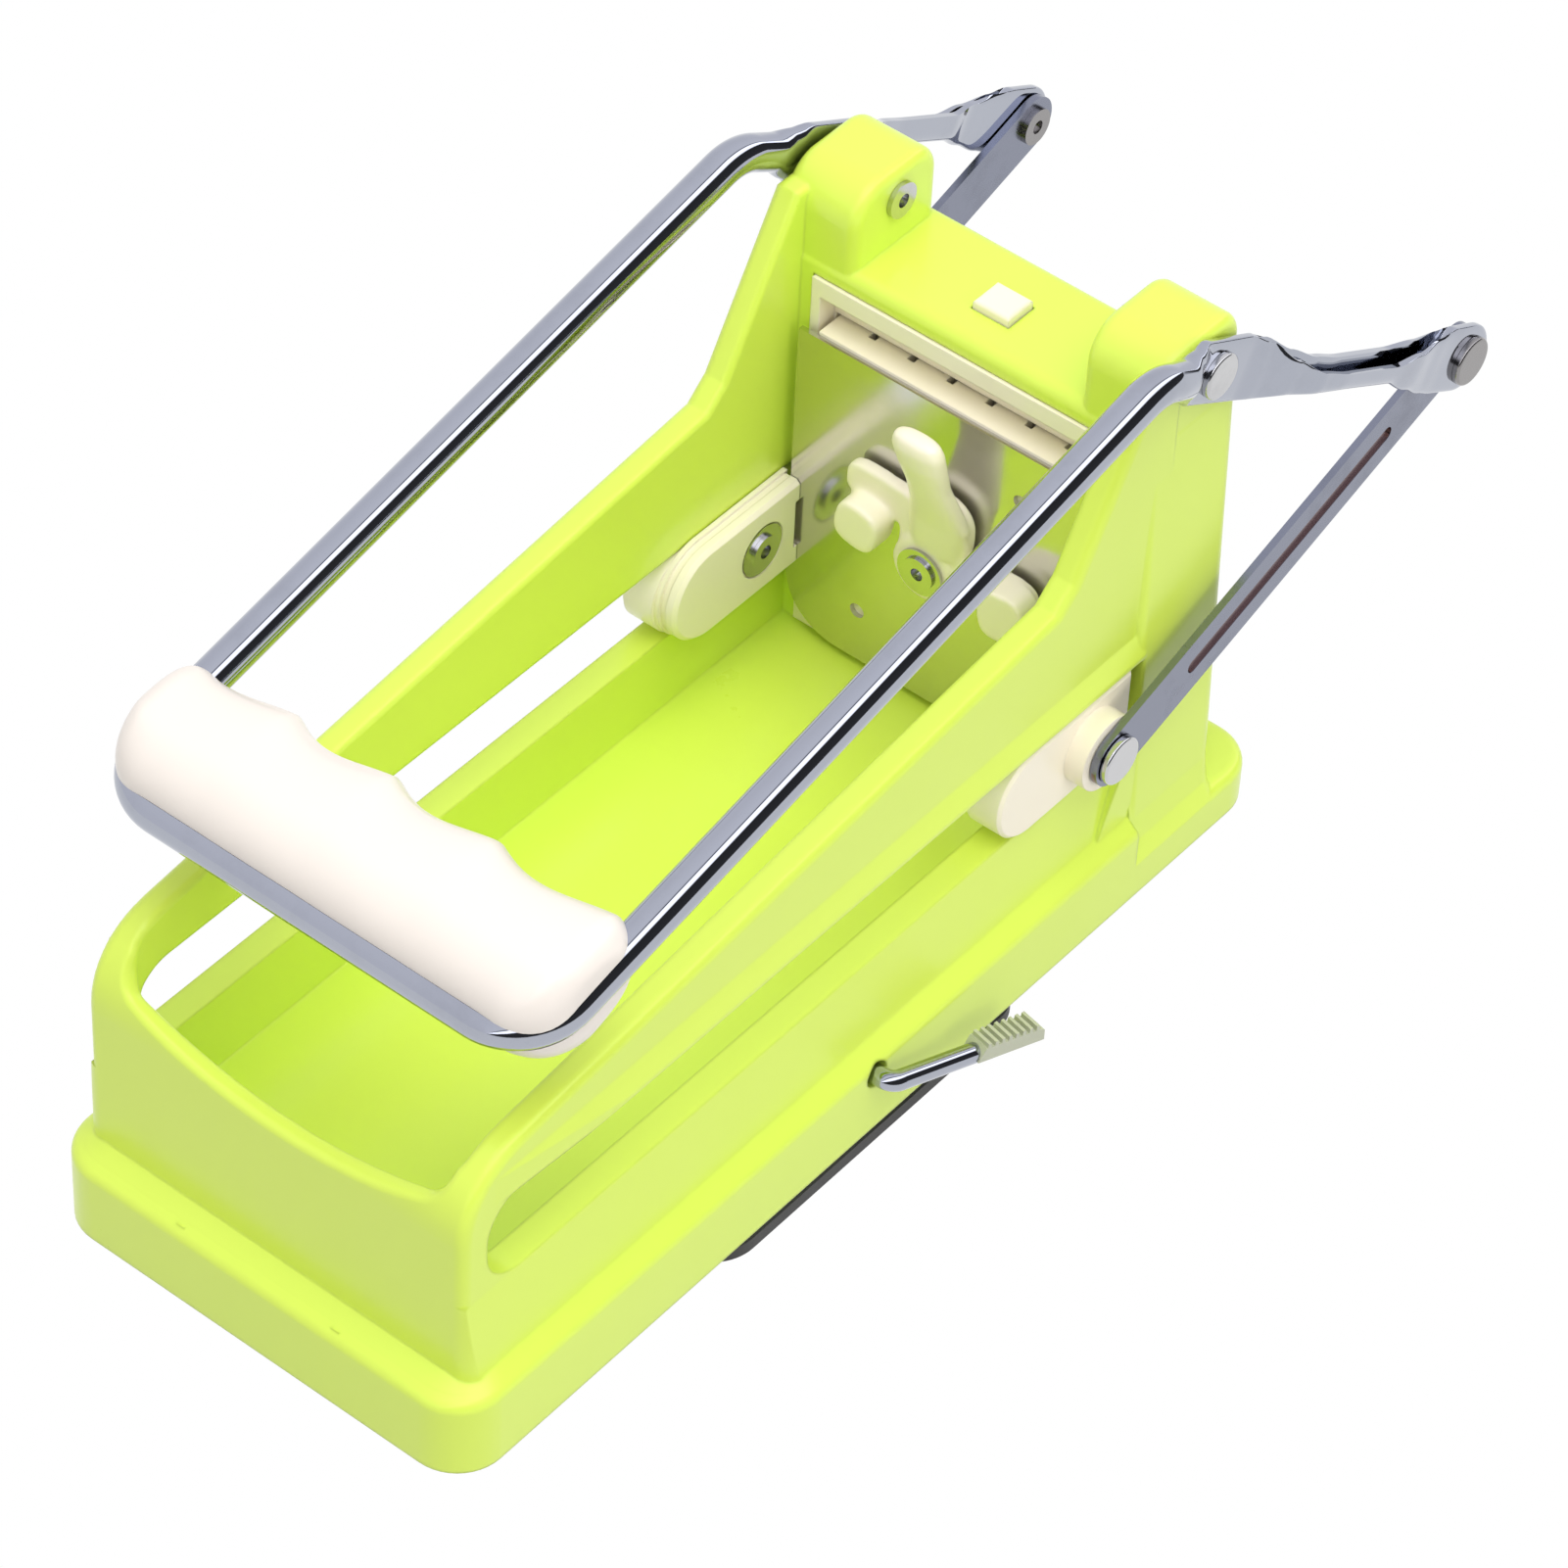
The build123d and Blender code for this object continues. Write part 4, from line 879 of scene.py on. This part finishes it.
# Upper half of the pinched section, from the outer side over its low lip and down into the
# crease, then up to the high inner bead: (angle, share of the half thickness, level), where
# the levels are 0 at mid height, 1 at the lip, 2 at the floor of the crease and 3 at the bead.
PINCHED = ((0, 1.0, 0), (36, 1.0, 1), (50, 0.85, 1), (60, 0.5, 1), (68, 0.4, 1), (84, 0.25, 2),
           (98, -0.25, 2), (114, -0.42, 3), (124, -0.6, 3), (138, -0.92, 3), (150, -1.0, 3),
           (180, -1.0, 0))


LIP_DROP = 2.1                # how far the lip lies below the bead
CREASE_WALL = 1.3             # what the crease leaves above the section's underside


def pinched_point(angle, thick, high):
    """Point of the pinched section at an angle of its upper half."""
    levels = (0.0, high - LIP_DROP, CREASE_WALL - high, high)
    for before, after in zip(PINCHED, PINCHED[1:]):
        if angle <= after[0]:
            t = (angle - before[0]) / (after[0] - before[0])
            low, top = levels[before[2]], levels[after[2]]
            return (before[1] + (after[1] - before[1]) * t) * thick, low + (top - low) * t
    return -thick, 0.0


ARM_NORMAL = Vector((0, -0.209, 0.978))    # square to the front arms


def tube_upright(ahead):
    """Direction square to the tube that stays in step round its bends."""
    upright = ARM_NORMAL - ahead * ARM_NORMAL.dot(ahead)
    if upright.length < 0.2:
        upright = Vector((0, 0, 1))
    return upright.normalized()


def lever_rings(form):
    """Rings of points round each station of the half lever."""
    stations = lever_stations(form)
    rings = []
    for k, station in enumerate(stations):
        centre, (thick, high, power, crease) = station[:2]
        across, upright = station_axes(stations, k)
        ring = []
        for j, (a, b) in enumerate(superellipse(thick, high, power, LEVER_SIDES)):
            angle = 360 * j / LEVER_SIDES
            if crease and angle < 180:
                pinched_a, pinched_b = pinched_point(angle, thick, high)
                a += (pinched_a - a) * crease
                b += (pinched_b - b) * crease
            ring.append(centre + across * a + upright * b)
        rings.append(ring)
    return rings


def cut_hole(piece, centre, axis, radius, length):
    """Drill one round hole, in millimetres."""
    bpy.ops.mesh.primitive_cylinder_add(vertices=40, radius=radius * MM, depth=length * MM,
                                        location=Vector(centre) * MM)
    drill = bpy.context.object
    drill.rotation_euler = Vector(axis).to_track_quat("Z", "Y").to_euler()
    take_away(piece, drill)


def take_away(piece, cutter):
    """Cut one object's form out of another and drop the cutter."""
    place_in_mesh(cutter)
    apply_modifier(piece, "BOOLEAN", object=cutter, operation="DIFFERENCE", solver="EXACT")
    bpy.data.objects.remove(cutter)


class MakeLever(bpy.types.Operator):
    """Form the bent lever tube with its pressed and creased rear arms"""

    bl_idname = "fry_cutter.make_lever"
    bl_label = "Lever"

    def execute(self, context):
        piece = skin("lever", lever_rings(context.scene.cutter_form), close_end=True)
        mirrored(piece)
        for node_name in ("pivot_rivets", "rear_rivets"):
            low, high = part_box(node_name)
            centre = [(p + q) / 2 / MM for p, q in zip(low, high)]
            cut_hole(piece, centre, (1, 0, 0), PIN_HOLE, LEVER_DRILL)
        smoothed(piece, 38)
        coat(finished(piece, "lever_bar", "lever", "lever_tube"), chrome())
        return {"FINISHED"}


# Hand grip, in millimetres from the middle of the cross bar.
GRIP_CRESTS = (-56.0, -29.6, -4.7, 20.5, 48.9, 76.0)    # between the finger hollows
WAVE_LEAN, WAVE_ROUND = 0.76, 1.35    # shape of one hollow
GRIP_FRONT, GRIP_BACK = -0.8, 31.0
GRIP_HALF_HIGH = 12.4
GRIP_CORNER, GRIP_EDGE = 11.0, 5.5    # rounding of its ends, seen from above and from the side
GRIP_SQUARE = 2.75            # squareness of its sections
GRIP_RIDGE = -0.36            # share of the depth at which it is highest
BACK_DROP, FRONT_DROP, DROP_POWER = 0.2, 0.1, 1.15    # fall to both sides of the ridge
GRIP_STEPS, GRIP_SIDES = 170, 80
SEAM_HALF = 0.04              # half of the seam between the two halves
SCREW_X, SCREW_REACH = 26.0, 15.0    # places of the screws along and across the grip
# Screw holes of each half, by its side: height of the middle, radius and length.
SCREW_HOLES = {1: ((3.0, 1.7, 11.0),), -1: ((-6.0, 1.7, 14.0), (-10.0, 3.4, 10.0))}
GROOVE_ROOM = 0.12            # how much wider than the tube its groove is
GROOVE_REACH, GROOVE_TAIL = 45.0, 30.0    # how far the groove's cutter follows each arm
GROOVE_SIDES = 48


def finger_hollow(x):
    """How deep the finger hollow is at a place along the grip, from 0 at a crest to 1."""
    for left, right in zip(GRIP_CRESTS, GRIP_CRESTS[1:]):
        if left <= x <= right:
            share = (x - left) / (right - left)
            return math.sin(math.pi * share ** WAVE_LEAN) ** WAVE_ROUND
    return 0.0


def grip_section(form, x):
    """Outline of the grip at one place along it, as (y, z) in the plane of the arms."""
    half = form.grip_length / 2
    over = max(0.0, abs(x) - (half - GRIP_CORNER))
    front = GRIP_FRONT + (GRIP_CORNER - math.sqrt(max(GRIP_CORNER ** 2 - over ** 2, 0.0)))
    over = max(0.0, abs(x) - (half - GRIP_EDGE))
    round_off = GRIP_EDGE - math.sqrt(max(GRIP_EDGE ** 2 - over ** 2, 0.0))
    back = GRIP_BACK - (form.grip_wave_depth * finger_hollow(x) + round_off * 0.8)
    high = GRIP_HALF_HIGH - round_off
    middle, depth = (back + front) / 2, (back - front) / 2
    loop = []
    for a, b in superellipse(1.0, 1.0, GRIP_SQUARE, GRIP_SIDES):
        if a > GRIP_RIDGE:
            drop = BACK_DROP * ((a - GRIP_RIDGE) / (1 - GRIP_RIDGE)) ** DROP_POWER
        else:
            drop = FRONT_DROP * ((GRIP_RIDGE - a) / (1 + GRIP_RIDGE)) ** DROP_POWER
        loop.append((middle + a * depth, b * high * (1 - drop)))
    return loop


def groove_cutter(form):
    """Tube a hair thicker than the lever's, which presses its groove into the grip."""
    wide = form.tube_radius + GROOVE_ROOM
    stations = [s for s in lever_stations(form) if s[0].y < form.bar_y + GROOVE_REACH]
    rings = []
    for k in range(len(stations) - 1):
        across, upright = station_axes(stations, k)
        rings.append([stations[k][0] + across * a + upright * b
                      for a, b in superellipse(wide, wide, ROUND, GROOVE_SIDES)])
    ahead = (stations[-1][0] - stations[-2][0]).normalized()
    end = [p + ahead * GROOVE_TAIL for p in rings[-1]]
    cutter = skin("groove", rings + [end], close_end=True)
    mirrored(cutter)
    return cutter


class MakeGrip(bpy.types.Operator):
    """Form the two halves of the hand grip with their finger hollows, round the tube"""

    bl_idname = "fry_cutter.make_grip"
    bl_label = "Hand grip"

    def execute(self, context):
        form = context.scene.cutter_form
        slope = math.atan2(form.bend_z - form.bar_z, form.bend_y - form.bar_y)
        arm = Vector((0, math.cos(slope), math.sin(slope)))
        up = Vector((0, -math.sin(slope), math.cos(slope)))
        bar = Vector((0, form.bar_y, form.bar_z))
        rings = []
        for k in range(GRIP_STEPS + 1):
            x = -form.grip_length / 2 * math.cos(math.pi * k / GRIP_STEPS)
            rings.append([bar + Vector((x, 0, 0)) + arm * y + up * z
                          for y, z in grip_section(form, x)])
        for side, name, node_name in ((1, "grip_top", "grip_upper"),
                                      (-1, "grip_bottom", "grip_lower")):
            piece = solid(name, rings)
            edit(piece)
            bpy.ops.mesh.bisect(plane_co=(bar + up * side * SEAM_HALF) * MM,
                                plane_no=up * side, use_fill=True, clear_inner=True)
            leave_edit()
            take_away(piece, groove_cutter(form))
            for x in (-SCREW_X, SCREW_X):
                spot = bar + Vector((x, 0, 0)) + arm * SCREW_REACH
                for height, radius, length in SCREW_HOLES[side]:
                    cut_hole(piece, spot + up * height, up, radius, length)
            smoothed(piece, 42)
            coat(finished(piece, name, "lever", node_name), white_plastic())
        dress(rivet_steel(), "grip_screws")
        return {"FINISHED"}


class MakeSuctionBase(bpy.types.Operator):
    """Finish the suction pad, its stem, the crank wire, the screws of its clips and the thumb tab
    """

    bl_idname = "fry_cutter.make_suction_base"
    bl_label = "Suction base"

    def execute(self, context):
        dress(black_rubber(), "suction_cup")
        dress(chrome(), "suction_rod")
        dress(tab_plastic(), "suction_tab")
        dress(cream_plastic(), "suction_stem")
        dress(rivet_steel(), "rod_clip_screws")
        return {"FINISHED"}


# ---------------------------------------------------------------- studio
def camera_axes(studio):
    """Right, up and back directions of the camera."""
    a, e, r = studio.azimuth, studio.elevation, studio.roll
    back = Vector((math.sin(a) * math.cos(e), -math.cos(a) * math.cos(e), math.sin(e)))
    level = Vector((math.cos(a), math.sin(a), 0))
    upright = back.cross(level)
    right = math.cos(r) * level + math.sin(r) * upright
    up = -math.sin(r) * level + math.cos(r) * upright
    return right, up, back


def add_lamp(name, place, target, size, power):
    """One square soft box that looks at a target."""
    bpy.ops.object.light_add(type="AREA", location=place)
    lamp = bpy.context.object
    lamp.name = name
    lamp.data.shape = "SQUARE"
    lamp.data.size = size
    lamp.data.energy = power
    lamp.visible_glossy = False
    lamp.rotation_euler = (Vector(target) - Vector(place)).to_track_quat("-Z", "Y").to_euler()


def by_ray(tree, path, ray, usual, special, x, y):
    """Mix two shaders so that one kind of ray gets the special one."""
    mix = node(tree, "ShaderNodeMixShader", x, y)
    wire(tree, path.outputs[ray], mix.inputs["Fac"])
    wire(tree, usual, mix.inputs[1])
    wire(tree, special, mix.inputs[2])
    return mix.outputs["Shader"]


def floor_material():
    """Floor that is white to the camera, bright in reflections and grey in the light it throws."""
    material = bpy.data.materials.new("Pale floor")
    material.use_nodes = True
    tree = material.node_tree
    surface = tree.nodes["Principled BSDF"]
    surface.inputs["Base Color"].default_value = (0.5, 0.5, 0.5, 1)
    surface.inputs["Roughness"].default_value = 0.9
    surface.inputs["Specular IOR Level"].default_value = 0.1
    bright = node(tree, "ShaderNodeEmission", 0, -150, in_Strength=1.05)
    white = node(tree, "ShaderNodeEmission", 0, -300)
    path = node(tree, "ShaderNodeLightPath", 0, 500)
    gloss = by_ray(tree, path, "Is Glossy Ray", surface.outputs["BSDF"],
                   bright.outputs["Emission"], 300, 200)
    seen = by_ray(tree, path, "Is Camera Ray", gloss, white.outputs["Emission"], 500, 100)
    wire(tree, seen, tree.nodes["Material Output"].inputs["Surface"])
    return material


# Brightness of the room round the cutter: degrees from upright towards its right, grey.
ROOM_BANDS = ((-180, 0.50), (-100, 0.37), (-50, 0.37), (8, 0.41), (14.5, 0.38), (16.5, 0.02),
              (19.5, 0.02), (21.5, 1.0), (40, 1.0), (44, 0.015), (96, 0.02), (106, 0.28),
              (140, 0.40), (180, 0.50))


def room_reflection(tree, strength):
    """What shiny pieces see: a grey room with one bright strip and a dark side to its right."""
    place = node(tree, "ShaderNodeTexCoord", -1200, 0)
    split = node(tree, "ShaderNodeSeparateXYZ", -1000, 0)
    wire(tree, place.outputs["Generated"], split.inputs["Vector"])
    turn = maths(tree, "ARCTAN2", -800, 0, split.outputs["X"], split.outputs["Z"])
    share = remapped(tree, turn, -620, 0, in_From_Min=-math.pi, in_From_Max=math.pi)
    ramp = node(tree, "ShaderNodeValToRGB", -420, 0)
    wire(tree, share, ramp.inputs["Fac"])
    stops = ramp.color_ramp.elements
    while len(stops) < len(ROOM_BANDS):
        stops.new(0.5)
    for stop, (degrees, value) in zip(stops, ROOM_BANDS):
        stop.position = (degrees + 180) / 360
        stop.color = (value, value, value * 1.05, 1)
    room = node(tree, "ShaderNodeBackground", -100, 0, in_Strength=strength)
    wire(tree, ramp.outputs["Color"], room.inputs["Color"])
    return room


def paint_sky(world, strength, room_strength):
    """Even light for the object, a banded grey room for its gloss, white for the camera."""
    world.use_nodes = True
    tree = world.node_tree
    tree.nodes.clear()
    out = node(tree, "ShaderNodeOutputWorld", 700, 0)
    room = room_reflection(tree, room_strength)
    even = node(tree, "ShaderNodeBackground", -100, 200, in_Strength=strength)
    even.inputs["Color"].default_value = (1, 1, 1, 1)
    white = node(tree, "ShaderNodeBackground", -100, -200, in_Strength=1.0)
    white.inputs["Color"].default_value = (1, 1, 1, 1)
    path = node(tree, "ShaderNodeLightPath", -100, 500)
    gloss = by_ray(tree, path, "Is Glossy Ray", even.outputs["Background"],
                   room.outputs["Background"], 200, 100)
    seen = by_ray(tree, path, "Is Camera Ray", gloss, white.outputs["Background"], 450, 0)
    wire(tree, seen, out.inputs["Surface"])


SENSOR_WIDTH = 36.0           # of the camera, mm
VIEW_LIFT = 6.0               # the camera is placed from this height above the worktop, mm
FLOOR_SIZE = 8.0
FLOOR_DROP = 0.0002           # keeps the floor clear of the rubber pad


class MakeStage(bpy.types.Operator):
    """Set up the camera, the soft boxes, the floor and the room"""

    bl_idname = "fry_cutter.make_stage"
    bl_label = "Studio"

    def execute(self, context):
        scene = context.scene
        studio = scene.cutter_studio
        right, up, back = camera_axes(studio)
        spot = back * studio.distance + right * studio.side_shift + up * studio.up_shift
        spot.z += VIEW_LIFT * MM
        bpy.ops.object.camera_add(location=spot)
        camera = context.object
        camera.rotation_euler = Matrix((right, up, back)).transposed().to_euler()
        camera.data.lens = studio.lens
        camera.data.sensor_width = SENSOR_WIDTH
        camera.data.clip_end = 20.0
        scene.camera = camera
        add_lamp("Overhead soft box", (0.25, -0.15, 1.3), (0, 0, 0.05), 1.1, studio.key_power)
        add_lamp("Front soft box", (-0.7, -1.3, 0.9), (0, 0, 0.06), 0.9, studio.fill_power)
        add_lamp("Side soft box", (1.5, -0.2, 0.7), (0, 0, 0.06), 0.7, studio.side_power)
        bpy.ops.mesh.primitive_plane_add(size=FLOOR_SIZE, location=(0, 0, -FLOOR_DROP))
        floor = context.object
        floor.name = "studio_floor"
        floor.data.materials.append(floor_material())
        place_in_mesh(floor)
        world = scene.world or bpy.data.worlds.new("Studio room")
        scene.world = world
        paint_sky(world, studio.sky_strength, studio.room_strength)
        scene.view_settings.view_transform = "Standard"
        return {"FINISHED"}


class CutterPanel(bpy.types.Panel):
    """Lists the pieces of the fry cutter and their settings"""

    bl_idname = "VIEW3D_PT_fry_cutter"
    bl_label = "French fry cutter"
    bl_space_type = "VIEW_3D"
    bl_region_type = "UI"
    bl_category = "Fry cutter"

    def draw(self, context):
        layout = self.layout
        scene = context.scene
        for owner in (scene.cutter_finish, scene.cutter_form, scene.cutter_studio):
            for key in owner.__annotations__:
                layout.prop(owner, key)
        for operator in PIECES:
            layout.operator(operator.bl_idname)


PIECES = (MakeHousing, MakeCassette, MakeCarriage, MakeLatch, MakeLinks, MakeLever, MakeGrip,
          MakeSuctionBase, MakeStage)
CLASSES = (CutterFinish, CutterForm, CutterStudio, *PIECES, CutterPanel)


def register():
    for kind in CLASSES:
        bpy.utils.register_class(kind)
    bpy.types.Scene.cutter_finish = bpy.props.PointerProperty(type=CutterFinish)
    bpy.types.Scene.cutter_form = bpy.props.PointerProperty(type=CutterForm)
    bpy.types.Scene.cutter_studio = bpy.props.PointerProperty(type=CutterStudio)


def unregister():
    del bpy.types.Scene.cutter_studio
    del bpy.types.Scene.cutter_form
    del bpy.types.Scene.cutter_finish
    for kind in reversed(CLASSES):
        bpy.utils.unregister_class(kind)


def main():
    register()
    for operator in PIECES:
        group, action = operator.bl_idname.split(".")
        getattr(getattr(bpy.ops, group), action)()


if __name__ == "__main__":
    main()
